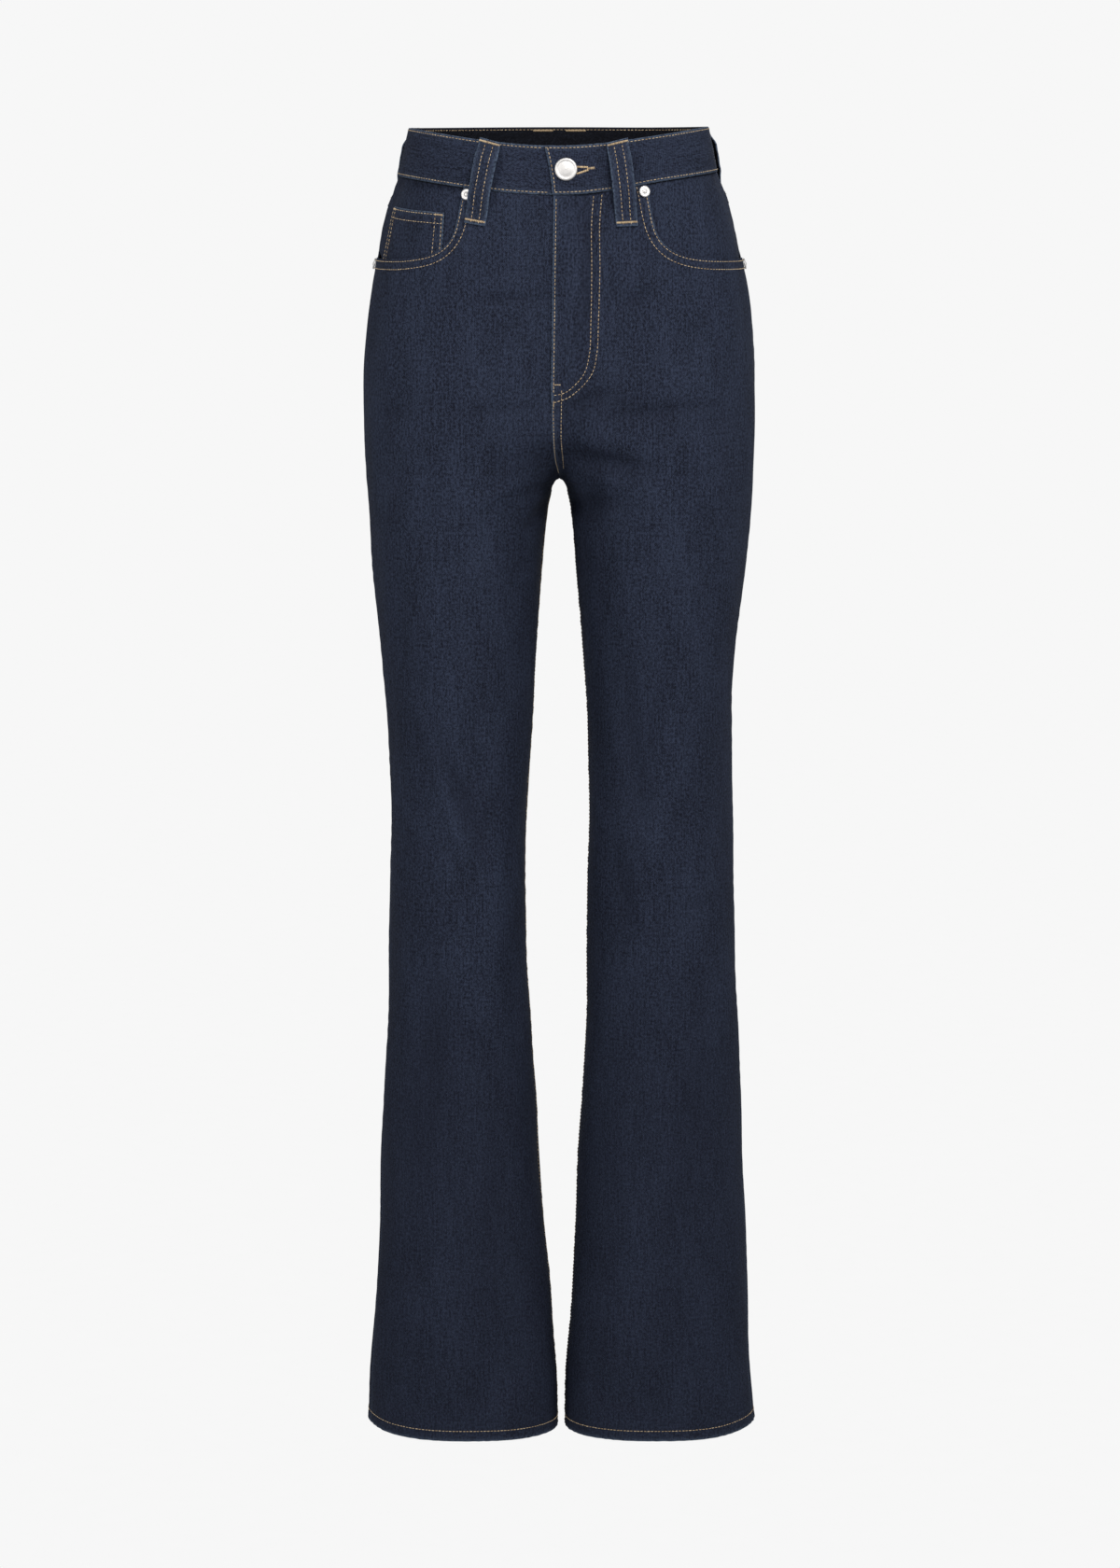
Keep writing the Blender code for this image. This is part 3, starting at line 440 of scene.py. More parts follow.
def seam_relief(z, g, side):
    """Puckers beside the seams."""
    turn = 0.7 if side == "left" else 2.1
    way = arc(z, g, side)
    front = (1 + g) * girth(z, side, "front")
    back = (1 - g) * girth(z, side, "back")
    below = smoothstep(-262.0, -300.0, z)
    rise = smoothstep(FLY_END + 10, FLY_END - 10, z) * (1 - below)
    # height of the puckers, distance to the seam, its fall, way along it, wavelength, turn
    rows = ((0.32, way, 7.0, z, 15.0, turn),
            (0.34 * below, front, 7.0, z, 13.0, turn + 1),
            (0.34 * below, back, 7.0, z, 13.0, turn + 2),
            (0.3 * rise, front, 7.0, z, 11.0, 1.1),
            (0.4 * (1 - below), back, 8.0, z, 12.0, 1.9),
            (0.22, z - waist_seam(g), 5.0, way, 9.0, turn + 3),
            (0.34 * (g > 0), z - yoke_seam(g), 7.0, way, 11.0, turn + 4),
            (0.42 * (z < HEM + 40), np.maximum(z - HEM - 4.0, 0.0), 5.0, way + 0.9 * z, 10.0, turn + 5))
    return sum(height * np.exp(-np.abs(distance) / fall) * wander(along, length, start)
               for height, distance, fall, along, length, start in rows)


# Broad waves of the cloth: wavelengths in x, y and z, turn, height
WAVES = ((190.0, 260.0, 210.0, 0.3, 0.55), (120.0, 150.0, -330.0, 1.7, 0.45),
         (75.0, 95.0, 260.0, 2.9, 0.35), (-58.0, 80.0, 170.0, 4.1, 0.28),
         (44.0, -60.0, 300.0, 5.2, 0.2), (90.0, 70.0, -88.0, 0.9, 0.18))


def broad_relief(point, z):
    total = np.zeros(z.shape)
    for lx, ly, lz, turn, height in WAVES:
        wave = point[..., 0] / lx + point[..., 1] / ly + point[..., 2] / lz
        total += height * np.sin(2 * np.pi * wave + turn)
    return total * smoothstep(-30.0, -70.0, z) * (1 - 0.5 * smoothstep(-1060.0, -1095.0, z))


def skin(z, g, side, lift=0.0, calm=0.0):
    """Points on the folded surface, moved out by lift; calm takes the puckers away."""
    z, g, lift = arrays(z, g, lift)
    point, normal = surface(z, g, side)
    move = fold_relief(z, g, side) + broad_relief(point, z) + (1 - calm) * seam_relief(z, g, side)
    return point + normal * (move + lift)[..., None]


def place_of(x, z, side):
    """Ring place of the front surface at x (from the middle, out on the given side)."""
    x, z = arrays(x, z)
    found = np.empty(x.size)
    middle = len(PLACES) // 2 + 1
    for n, (wide, high) in enumerate(zip(x.ravel(), z.ravel())):
        row = NET[side]["point"][np.argmin(np.abs(LINES - high)), :middle, 0] * SIDES[side]
        found[n] = np.interp(wide, row, PLACES[:middle])
        if wide < 0:
            found[n] = -1 + wide / girth(high, side, "front")
    return found.reshape(x.shape)


# ---------------------------------------------------------------- making meshes

def add_object(name, data):
    made = bpy.data.objects.new(name, data)
    bpy.context.scene.collection.objects.link(made)
    return made


def finish_mesh(name, points, faces, finishes, chosen=None, values=None, sharp=55.0):
    """An object from points in millimetres, riding on the part."""
    mesh = bpy.data.meshes.new(name)
    mesh.from_pydata((np.asarray(points) * MM).tolist(), [], faces)
    for finish in finishes:
        mesh.materials.append(finish)
    if chosen is not None:
        mesh.polygons.foreach_set("material_index", np.asarray(chosen, np.int32))
    for key, value in (values or {}).items():
        value = np.asarray(value, np.float32)
        kind, field = ("FLOAT", "value") if value.ndim == 1 else ("FLOAT_VECTOR", "vector")
        mesh.attributes.new(key, kind, "POINT").data.foreach_set(field, value.ravel())
    mesh.shade_smooth()
    mesh.set_sharp_from_angle(angle=np.radians(sharp))
    made = add_object(name, mesh)
    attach(made, "root")
    return made


EDGE = np.array((0.0, 0.12, 0.4, 0.85, 1.6))     # lines beside a rounded edge
ROLL = 0.46                  # an edge's radius as a share of the cloth's thickness
WEAR_WIDTH = 1.1             # of the worn line along a folded edge


def edged(length, step):
    """Places along a length, closer together beside both ends."""
    count = max(int(round((length - 2 * EDGE[-1]) / step)), 1)
    inside = np.linspace(EDGE[-1], length - EDGE[-1], count + 1)
    return np.concatenate([EDGE[:-1], inside, length - EDGE[-2::-1]])


def shares(length, step):
    """The places of edged as shares of the length."""
    return edged(length, step) / length


def edge_distance(points):
    """Distance of each grid point to the four borders along its row and column."""
    down, along = (np.pad(np.cumsum(np.linalg.norm(np.diff(points, axis=k), axis=2), k),
                          ((1 - k, 0), (k, 0))) for k in (0, 1))
    return {"top": down, "bottom": down[-1:] - down, "start": along, "end": along[:, -1:] - along}


def rolled(distance, radius):
    """How far a rounded edge of this radius falls away."""
    inside = np.clip(1 - distance / radius, 0.0, 1.0)
    return radius * (1 - np.sqrt(1 - inside**2))


def grid_faces(rows, columns, shift, turned_over):
    a = (np.arange(rows - 1)[:, None] * columns + np.arange(columns - 1)[None, :]).ravel() + shift
    faces = np.stack([a, a + columns, a + columns + 1, a + 1], 1)
    return faces[:, ::-1] if turned_over else faces


GRAIN_LINE = 79.0            # the straight grain lies this far from the middle of the body


def grain_lines():
    """Way round, at each height of LINES, to the straight grain line of every panel."""
    found = {}
    middle = len(PLACES) // 2
    for side in SIDES:
        wide = NET[side]["point"][:, :, 0] * SIDES[side]
        front = [np.interp(GRAIN_LINE, row[:middle + 1], PLACES[:middle + 1]) for row in wide]
        back = [np.interp(GRAIN_LINE, row[:middle - 1:-1], PLACES[:middle - 1:-1]) for row in wide]
        found[side] = (np.array(front) * NET[side]["front"], np.array(back) * NET[side]["back"])
    return found


GRAIN = grain_lines()
CREASE_PAINTED_SHADE = 0.26           # painted shade and highlight: how much a millimetre of fold darkens a trough or lightens a ridge


def grain_way(z, g, side):
    """Way across the cloth from its panel's straight grain line."""
    front, back = GRAIN[side]
    line = np.where(g < 0, np.interp(z, LINES, front), np.interp(z, LINES, back))
    return SIDES[side] * (arc(z, g, side) - line)


def tone_lift_and_painted_shade_of(z, g, side):
    """Tone lift of the cloth: more on hips, thighs, knees and mid-panel, less down the lower legs and
    beside the seams. On top of it lie painted shade in fold troughs, painted highlight on fold ridges, and
    painted fill light along the inner legs below the crotch.
    """
    # painted shade in the troughs of the folds and painted highlight on their ridges
    painted_crease_shade = np.clip(CREASE_PAINTED_SHADE * fold_relief(z, g, side), -0.45, 0.3)
    crest = 0.84 + 0.16 * np.exp(-((np.abs(g) - 0.5) / 0.33) ** 2)
    # painted fill light: lighter towards the inseams below the crotch, where the legs shade each other
    inner = 0.22 * smoothstep(0.72, 1.0, np.abs(g)) * smoothstep(-240.0, -330.0, z)
    high = 0.25 + 0.75 * smoothstep(-760.0, -200.0, z)
    knee = 0.35 * np.exp(-((z + 640.0) / 120.0) ** 2)
    return np.clip((crest + inner) * (high + knee) + painted_crease_shade, 0.0, 1.2)


def shell(name, z, g, side, lift, thick, folded=(), weave=None, calm=0.0, outer=None,
          flip=None, finishes=None):
    """A thin closed shell with rounded edges; folded names the edges that show wear."""
    z, g = np.broadcast_arrays(z, g)
    if outer is None:
        def outer(extra):
            return skin(z, g, side, lift + extra, calm)
    spread = edge_distance(outer(0.0))
    fall = rolled(np.min(np.stack(list(spread.values())), 0), ROLL * np.min(thick))
    points = np.concatenate([outer(way).reshape(-1, 3) for way in (-fall, fall - thick)])
    rows, columns = z.shape
    size = rows * columns
    turned_over = (side == "right") if flip is None else flip
    rim = np.concatenate([np.arange(columns), np.arange(1, rows) * columns + columns - 1,
                          (rows - 1) * columns + np.arange(columns - 2, -1, -1),
                          np.arange(rows - 2, 0, -1) * columns])
    after = np.roll(rim, -1)
    edge = np.stack([rim, after, after + size, rim + size], 1)
    faces = [grid_faces(rows, columns, 0, turned_over),
             grid_faces(rows, columns, size, not turned_over),
             edge[:, ::-1] if turned_over else edge]
    # faces of the inner side take the second finish; for cloth that is the inside denim darkened as painted
    # shade
    chosen = np.concatenate([np.full(len(f), n) for f, n in zip(faces, (0, 1, 0))])
    if weave is None:
        weave = np.stack([grain_way(z, g, side), z, np.zeros(z.shape)], -1)
    wear = np.zeros(z.shape)
    for edge_name in folded:
        wear = np.maximum(wear, np.exp(-spread[edge_name] / WEAR_WIDTH))
    values = {"weave": weave.reshape(-1, 3) * MM, "wear": wear.ravel(),
              "tone_lift_and_painted_shade": tone_lift_and_painted_shade_of(z, g, side).ravel()}
    values = {key: np.concatenate([value] * 2) for key, value in values.items()}
    return finish_mesh(name, points, np.concatenate(faces).tolist(), finishes or CLOTH_FINISH,
                       chosen, values)


def stands_for(made, node, **cut):
    """The cloth shows in place of its solid, which is hidden; the cut values are not used."""
    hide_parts(node)


# ---------------------------------------------------------------- materials

class Finish:
    """A material and short ways to add its nodes."""

    def __init__(self, name):
        self.material = bpy.data.materials.new(name)
        self.material.use_nodes = True
        self.tree = self.material.node_tree
        self.shader = self.tree.nodes["Principled BSDF"]

    def put(self, socket, value):
        if isinstance(value, bpy.types.NodeSocket):
            self.tree.links.new(value, socket)
        else:
            socket.default_value = value

    def add(self, kind, inputs=(), **settings):
        node = self.tree.nodes.new("ShaderNode" + kind)
        for key, value in settings.items():
            setattr(node, key, value)
        for place, value in dict(inputs).items():
            self.put(node.inputs[place], value)
        return node

    def maths(self, operation, *values):
        return self.add("Math", enumerate(values), operation=operation).outputs[0]

    def times(self, first, second):
        return self.maths("MULTIPLY", first, second)

    def blend(self, value, share, rest):
        """value times share, plus the rest."""
        return self.maths("MULTIPLY_ADD", value, share, rest)

    def wave(self, value, rate=2 * np.pi):
        """A sine of the value, from 0 to 1."""
        return self.blend(self.maths("SINE", self.times(value, rate)), 0.5, 0.5)

    def ramp(self, value, low, high):
        """0 below low, 1 above high, smooth between."""
        node = self.add("MapRange", {0: value, 1: low, 2: high}, interpolation_type="SMOOTHSTEP")
        return node.outputs[0]

    def noise(self, vector, scale, detail=2.0, rough=0.5):
        """Noise whose grain is stretched by the three scales."""
        put = self.add("Mapping", {"Vector": vector, "Scale": scale})
        return self.add("TexNoise", {"Vector": put.outputs[0], "Scale": 1.0, "Detail": detail,
                                     "Roughness": rough}).outputs[0]

    def mix(self, share, first, second):
        colours = {0: share, 6: first, 7: second}
        for place in (6, 7):
            if isinstance(colours[place], tuple):
                colours[place] += (1.0,)
        return self.add("Mix", colours, data_type="RGBA").outputs[2]

    def stored(self, name, output="Fac"):
        """A value or vector that the mesh carries."""
        node = self.add("Attribute", attribute_name=name, attribute_type="GEOMETRY")
        return node.outputs[output]

    def bump(self, height, strength, distance):
        inputs = {"Height": height, "Strength": strength, "Distance": distance}
        return self.add("Bump", inputs).outputs[0]

    def set(self, colour, rough, normal, **others):
        """The shader's sockets; the others are plain numbers."""
        inputs = self.shader.inputs
        self.put(inputs["Base Color"], colour)
        self.put(inputs["Roughness"], rough)
        self.put(inputs["Normal"], normal)
        for name, value in others.items():
            inputs[name.replace("_", " ")].default_value = value
        return self.material


TWILL_ACROSS = 0.00156       # metres between diagonals, along the weft
TWILL_UP = 0.0022            # and along the warp
YARN = 0.00039               # from yarn to yarn
MEAN_TONE = 0.66             # tone is spread about this
# Noises of the denim: scales across and up, detail, roughness, ramp from, to, share
DENIM_NOISE = (("salt", 620.0, 430.0, 2.0, 0.6, 0.36, 0.66, 0.42),
               ("grain", 1500.0, 1250.0, 2.0, 0.7, 0.36, 0.68, 0.22),
               ("slub", 1150.0, 110.0, 2.0, 0.6, 0.36, 0.68, 0.22),
               ("streak", 620.0, 26.0, 2.0, 0.6, 0.34, 0.68, 0.16),
               ("cloud", 30.0, 12.0, 3.0, 0.55, 0.30, 0.72, 0.14))


def denim_finish(name, dark, light, worn, tone_lift_and_painted_shade):
    """Indigo twill: warp streaks and slubs, diagonal ribs, pale weft specks and worn edges."""
    f = Finish(name)
    weave = f.stored("weave", "Vector")
    u, v = f.add("SeparateXYZ", {0: weave}).outputs[:2]
    phase = f.maths("SUBTRACT", f.maths("DIVIDE", u, TWILL_ACROSS), f.maths("DIVIDE", v, TWILL_UP))
    bend = f.times(f.noise(weave, (90.0, 90.0, 1.0), 1.0), 1.2)
    rib = f.wave(f.maths("ADD", phase, bend))
    yarn = f.wave(u, 2 * np.pi / YARN)
    noise = {}
    tone = f.times(rib, 0.16)
    for key, across, up, detail, rough, low, high, share in DENIM_NOISE:
        noise[key] = f.noise(weave, (across, up, 1.0), detail, rough)
        tone = f.blend(f.ramp(noise[key], low, high), share, tone)
    # this attribute carries the tone lift together with painted shade in fold troughs, painted highlight on
    # ridges and painted fill light on the inner legs
    painted_shade_and_lift = f.stored("tone_lift_and_painted_shade")
    tone = f.times(f.maths("SUBTRACT", tone, MEAN_TONE), f.blend(painted_shade_and_lift, 1.0, 0.70))
    tone = f.maths("ADD", tone, f.blend(painted_shade_and_lift, tone_lift_and_painted_shade, 0.32))
    colour = f.mix(tone, dark, light)
    speck = f.times(f.ramp(noise["grain"], 0.58, 0.74), f.ramp(rib, 0.2, 0.9))
    colour = f.mix(f.times(speck, 0.34), colour, worn)
    patch = f.ramp(f.noise(weave, (520.0, 520.0, 1.0), 3.0), 0.3, 0.6)
    colour = f.mix(f.times(f.times(f.stored("wear"), patch), 0.7), colour, worn)
    height = f.blend(noise["slub"], 0.7, f.blend(yarn, 0.25, f.times(rib, 0.6)))
    return f.set(colour, f.blend(noise["grain"], 0.16, 0.82), f.bump(height, 0.55, 0.00016),
                 Specular_IOR_Level=0.12)


def thread_finish():
    """Twisted tan thread, each stitch a little lighter or darker."""
    f = Finish("tan_thread")
    twist = f.wave(f.stored("twist"))
    tone = f.blend(twist, 0.35, f.times(f.stored("tone"), 0.65))
    return f.set(f.mix(tone, (0.34, 0.22, 0.105), (0.80, 0.60, 0.36)), f.blend(twist, 0.15, 0.5),
                 f.bump(twist, 0.5, 0.00006), Sheen_Weight=0.2)


def metal_finish():
    """Pale nickel with a fine brushed grain and soft pits."""
    f = Finish("pale_nickel")
    where = f.add("TexCoord").outputs["Object"]
    brushed = f.noise(where, (9000.0, 900.0, 2500.0), 3.0, 0.6)
    smudge = f.noise(where, (260.0, 260.0, 260.0), 2.0)
    return f.set(f.mix(smudge, (0.78, 0.745, 0.71), (0.88, 0.85, 0.82)),
                 f.blend(brushed, 0.18, f.blend(smudge, 0.12, 0.34)),
                 f.bump(brushed, 0.12, 0.00003), Metallic=1.0)


def tape_finish():
    """Dark woven zip tape with a fine ribbed weave."""
    f = Finish("zip_tape_weave")
    u, v = f.add("SeparateXYZ", {0: f.stored("weave", "Vector")}).outputs[:2]
    ribs = (f.maths("SINE", f.times(way, 2 * np.pi / rib)) for way, rib in ((v, 0.0009), (u, 0.0007)))
    height = f.blend(f.times(*ribs), 0.25, 0.5)
    return f.set(f.mix(height, (0.010, 0.012, 0.020), (0.024, 0.028, 0.042)),
                 f.blend(height, 0.1, 0.65), f.bump(height, 0.6, 0.0001))


DENIM = denim_finish("indigo_denim", (0.0070, 0.0080, 0.0152), (0.0330, 0.0425, 0.0735),
                     (0.14, 0.19, 0.27), 0.30)
# inside faces darkened to near black: painted shade standing in for the shadow inside the garment
DENIM_IN_PAINTED_SHADE = denim_finish("indigo_denim_inside_painted_shade", (0.0050, 0.0052, 0.0078), (0.016, 0.018, 0.026),
                        (0.03, 0.034, 0.05), 0.05)
THREAD = thread_finish()
METAL = metal_finish()
TAPE = tape_finish()
CLOTH_FINISH = (DENIM, DENIM_IN_PAINTED_SHADE)


# ---------------------------------------------------------------- leg panels

# Height, and how far the left front runs past the centre line there
FRONT_EDGE = np.array(((-36.0, 4.8), (-194.0, 7.0), (-240.0, 5.7), (-256.0, 4.0), (-270.0, 0.0)))
FLY_UNDER = 4.0
FLY_LIFT = 1.9
FLY_SLOPE = (8.5, 16.0)
# Where a second layer starts to fall away and has fallen away, from its edge or seam
POCKET_STEP = (8.6, 10.4)
FACING_STEP = (28.0, 33.5)
RISE_STEP = (8.0, 10.0)
FELL_STEP = (8.6, 10.2)
SIDE_STEP = (9.0, 11.5)
YOKE_STEP = (9.0, 11.0)
FELL_LIFT = 0.5              # of that layer at a felled seam
ROW_LIFT = 0.45              # and where a row holds it down
BACK_START = -62.0           # the back's rows follow the yoke's seam here
BACK_CALM = -176.0           # and are level from here down
STEP_UP = 3.3                # spacing of the shells' rows
STEP_ROUND = 3.1             # and of their columns
POCKET_PARTS = 52            # rows beside the pocket opening
POCKET_INNER_END = -97.0
HEM_RISE = 2.6


def front_edge(z):
    return np.interp(-z, -FRONT_EDGE[:, 0], FRONT_EDGE[:, 1])


def centre_reach(z, side):
    """How far a front panel runs past the centre line, negative where it stops short."""
    if side == "left":
        return front_edge(z)
    fly = smoothstep(FLY_END, FLY_END + 8.0, z)
    return FLY_UNDER * fly - front_edge(z) * (1 - fly)


def lap_lift(z, x):
    """Lift of the left front where it laps over the right one at the fly."""
    return FLY_LIFT * smoothstep(FLY_END - 14.0, FLY_END, z) * fades(*FLY_SLOPE, x)


def hem_height(z, g):
    """The lowest rows hang lower at the inseam and rise a little at the side seam."""
    low = smoothstep(-1000.0, HEM, z)
    corner = HEM_RISE * np.exp(-(g / 0.16) ** 2)
    return z + low * (corner - HEM_DROP * np.abs(np.clip(g, -1, 1)) ** 3)


def pocket_distance(z, g, side):
    """Distance along the cloth to the pocket opening's edge."""
    curve_g, curve_z = pocket_curve(side, 60)
    across = arc(z, g, side)
    edge = arc(curve_z, curve_g, side)
    near = z > -110.0
    found = np.full(z.shape, 99.0)
    found[near] = np.hypot(across[near][:, None] - edge, z[near][:, None] - curve_z).min(1)
    return found


def hem_dent(z):
    """The row of stitches pulls the hem in."""
    return 0.25 * np.exp(-((z - HEM - HEM_DEPTH) / 1.2) ** 2)


def front_lift(z, g, side):
    """Lift of a front panel's outer face."""
    x = (1 + g) * girth(z, side, "front")
    lift = ROW_LIFT * fades(*POCKET_STEP, pocket_distance(z, g, side)) - hem_dent(z)
    if side == "left":
        lift = lift + np.where(z > CROTCH, lap_lift(z, x), 0.0)
        facing = fades(*FACING_STEP, x + FACING_STEP[0] * smoothstep(-172.0, -200.0, z))
        lift = lift + ROW_LIFT * facing * (z > -205.0)
        felled = fades(*RISE_STEP, x) * smoothstep(-200.0, -206.0, z)
        lift = lift + FELL_LIFT * felled * smoothstep(CROTCH, CROTCH + 20.0, z)
    return lift


def back_lift(z, g, side):
    """Lift of a back panel's outer face."""
    back = girth(z, side, "back")
    inner = fades(*FELL_STEP, (1 - g) * back)
    lift = 0.3 * fades(*SIDE_STEP, g * back) * smoothstep(0.0, 3.0, g * 200) - hem_dent(z)
    return lift + inner * (FELL_LIFT * (z > CROTCH) * (side == "left") + 0.35 * (z < CROTCH - 12))


def leg_rows(start):
    """Heights from start down to the hem, closer at the crotch and the hem."""
    parts = [np.arange(start, CROTCH + 16.0, -STEP_UP), np.arange(CROTCH + 14.0, CROTCH + 4.0, -2.0),
             CROTCH + np.array((3.0, 1.8, 0.8, 0.0, -0.8, -1.8, -3.0)),
             np.arange(CROTCH - 5.0, CROTCH - 16.0, -2.2),
             np.arange(CROTCH - 18.0, HEM + 22.0, -STEP_UP),
             HEM + np.array((20.0, 17.5, 15.0, 13.0, 11.6, 10.6, 10.0, 9.2, 8.0, 6.0, 4.0, 2.4,
                             1.6, 0.85, 0.4, 0.12, 0.0))]
    return np.concatenate(parts)


def cloth_thickness(z):
    return CLOTH + HEM_FOLD * fades(HEM + HEM_DEPTH, HEM + HEM_DEPTH + 1.2, z)


def across(start, end):
    """For every row, places from start to end, closer together beside both ends."""
    near = EDGE[:-1]
    middle = edged(float(np.max(end)), STEP_ROUND)[len(near):-len(near)]
    middle = (middle - middle[0]) / (middle[-1] - middle[0])
    start, end = start[:, None], end[:, None]
    low = start + EDGE[-1]
    return np.concatenate([start + near, low + (end - EDGE[-1] - low) * middle,
                           end - near[::-1]], 1)


def panel(node, z, g, side, lift, folded, **cut):
    """A leg's cloth, thicker and turned up at the hem."""
    made = shell(node + "_cloth", hem_height(z, g), g, side, lift, cloth_thickness(z), folded)
    stands_for(made, node, **cut)


def front_panel(side):
    """Front leg: its top corner is cut away by the pocket opening."""
    top = float(waist_seam(-1.0))
    share = shares(top - POCKET_INNER_END, (top - POCKET_INNER_END) / POCKET_PARTS)[:-len(EDGE) + 1]
    curve_g, curve_z = pocket_curve(side, 400)
    pocket_g, pocket_z = (np.interp(share, np.linspace(0, 1, 400), c) for c in (curve_g, curve_z))
    below = leg_rows(POCKET_INNER_END - 2.0)
    none = np.zeros(len(below))
    inner_z = np.concatenate([top + (POCKET_INNER_END - top) * share, below])
    blend = np.clip((below + 200.0) / 100.0, 0.0, 1.0)
    outer_z = np.concatenate([pocket_z, below + (POCKET_BOTTOM - POCKET_INNER_END) * blend**2])
    front = girth(inner_z, side, "front")
    reach = np.where(inner_z > CROTCH, centre_reach(inner_z, side), 0.0)
    end = (1 + np.concatenate([pocket_g, none])) * front
    away = across(-reach, end)
    g = away / front[:, None] - 1
    u = (away + reach[:, None]) / (end + reach)[:, None]
    z = inner_z[:, None] * (1 - u) + outer_z[:, None] * u
    fade = np.concatenate([1 - share, none])[:, None]
    z = z + fade**2 * (waist_seam(g[:1]) - top * (1 - u) - curve_z[0] * u)
    worn = ("start", "end", "bottom") if side == "left" else ("end", "bottom")
    panel("front_" + side, z, g, side, front_lift(z, g, side), worn,
          flat=(0.262, 1.075), area=0.2195, held="hung", rests_on=["waistband"])


def back_panel(side):
    """Back leg, from the yoke seam down."""
    start, calm = BACK_START, BACK_CALM
    row_z = np.concatenate([start - EDGE[:-1], np.arange(start - EDGE[-1], calm + 1.0, -STEP_UP),
                            leg_rows(calm)])
    back = girth(row_z, side, "back")
    g = across(0 * back, back) / back[:, None]
    fade = np.clip((row_z - calm) / (start - calm), 0.0, 1.0)[:, None]
    z = row_z[:, None] + (yoke_seam(g) - SEAM_GAP - start) * fade
    panel("back_" + side, z, g, side, back_lift(z, g, side), ("bottom",),
          flat=(0.292, 1.060), area=0.2395, held="hung", rests_on=["yoke_" + side])


def yoke(side):
    """Yoke between the waistband and the back panel."""
    back = float(girth(-50.0, side, "back"))
    g = shares(back, STEP_ROUND)[None, :]
    v = shares(float((waist_seam(g) - yoke_seam(g)).max()), 2.6)[:, None]
    z = waist_seam(g) * (1 - v) + yoke_seam(g) * v
    lift = FELL_LIFT * fades(*YOKE_STEP, z - yoke_seam(g))
    lift = lift + FELL_LIFT * fades(*FELL_STEP, (1 - g) * back) * (side == "left")
    stands_for(shell("yoke_" + side + "_cloth", z, g, side, lift, CLOTH, ("bottom",)), "yoke_" + side,
               flat=(0.212, 0.075), area=0.00865, held="stretched", rests_on=["waistband"])


# ---------------------------------------------------------------- waistband and fly

BAND_LAP = BAND_WALL + SEAM_GAP
BAND_UNDER = 28.0
LAP_SLOPE = (30.0, 37.5)
LAP_END_TOP = 12.4
LAP_END_BOTTOM = 5.6
LAP_CORNER = 2.2             # rounding of the lap end's top corner


def band_lift(side, g, front):
    """Lift of the waistband's outer face."""
    lap = BAND_LAP * fades(*LAP_SLOPE, (g + 1) * front)
    return BAND_LIFT + np.where((side == "left") & (g < 0), lap, 0.0)


def lap_end(v):
    """How far the lapped end runs past the centre line at share v down the band."""
    return LAP_END_BOTTOM + (LAP_END_TOP - LAP_END_BOTTOM) * (1 - v) ** 1.6


def halves_at(z, side):
    """Front and back length at one height, as plain numbers."""
    return [float(girth(z, side, half)) for half in ("front", "back")]


def waistband():
    """One strip with its left end lapped over its right end."""
    v = shares(BAND_HEIGHT, 2.2)
    columns = []
    for side in ("right", "left"):
        front, back = halves_at(0.0, side)
        if side == "right":
            start = -front - BAND_UNDER
            places = np.concatenate([start + EDGE[:-1], np.arange(start, back, 2.6)[1:]])
        else:
            places = np.arange(back, -front, -2.6)
            places = places[places > -front + 1.0]
        for s in places:
            g = np.full(len(v), s / (front if s < 0 else back))
            columns.append((g, side, band_lift(side, g, front)))
    end = lap_end(v) - rolled(v * BAND_HEIGHT, LAP_CORNER)
    reaches = [(end - EDGE[-1]) * n / 6 for n in range(1, 7)] + [end - e for e in EDGE[-2::-1]]
    columns += [(-1 - reach / front, "left", np.full(len(v), BAND_LIFT + BAND_LAP)) for reach in reaches]
    rows = [band_top(g) - BAND_HEIGHT * v for g, side, lift in columns]

    def outer(extra):
        extra = np.broadcast_to(extra, (len(v), len(rows)))
        return np.stack([skin(z, g, side, lift + extra[:, n])
                         for n, (z, (g, side, lift)) in enumerate(zip(rows, columns))], 1)

    spread = edge_distance(outer(0.0))
    weave = np.stack([spread["top"], spread["start"], 0 * spread["top"]], -1)
    z = np.stack(rows, 1)
    made = shell("waistband_cloth", z, z, "left", 0.0, BAND_WALL, ("top", "bottom", "end"),
                 weave=weave, outer=outer, flip=True)
    stands_for(made, "waistband", flat=(0.812, 0.0385), held="stretched",
               rests_on=["yoke_left", "yoke_right"])


def strip(name, node, low, high, top, bottom, lift, thick, finishes, slot, **cut):
    """A flat strip behind the fly, low to high to the wearer's left of the centre."""
    way = edged(high - low, 2.5) + low
    z = top - edged(top - bottom, 4.0)[:, None]
    g = -1 + way[None, :] / girth(z, "right", "front")
    made = shell(name, z, g, "right", lift, thick, ("start", "end"), finishes=finishes)
    stands_for(made, node, **cut)


# ---------------------------------------------------------------- pockets

FACING_EDGE = -0.76
FACING_BOTTOM = -122.0
FACING_WALL = 1.2
COIN_WALL = 1.1
SHIELD_WALL = 1.2
COIN_G = (-0.53, -0.175)
COIN_TOP = -46.0
COIN_BOTTOM = -112.0
COIN_SLOPE = 4.6             # its top edge rises towards the side seam
COIN_WIDE = 75.0
LAYER_GAP = 0.9
FACING_LIFT = {"left": -CLOTH - LAYER_GAP, "right": -CLOTH - LAYER_GAP - COIN_WALL - 0.5}
COIN_LIFT = -CLOTH - LAYER_GAP


def facing_lift(z, g, side):
    """The facing lies deep under the front panel and comes up to the side seam."""
    near = smoothstep(26.0, 1.0, -g * girth(z, side, "front"))
    shown = smoothstep(POCKET_BOTTOM - 1.0, POCKET_BOTTOM + 7.0, z)
    return FACING_LIFT[side] * (1 - near * shown)


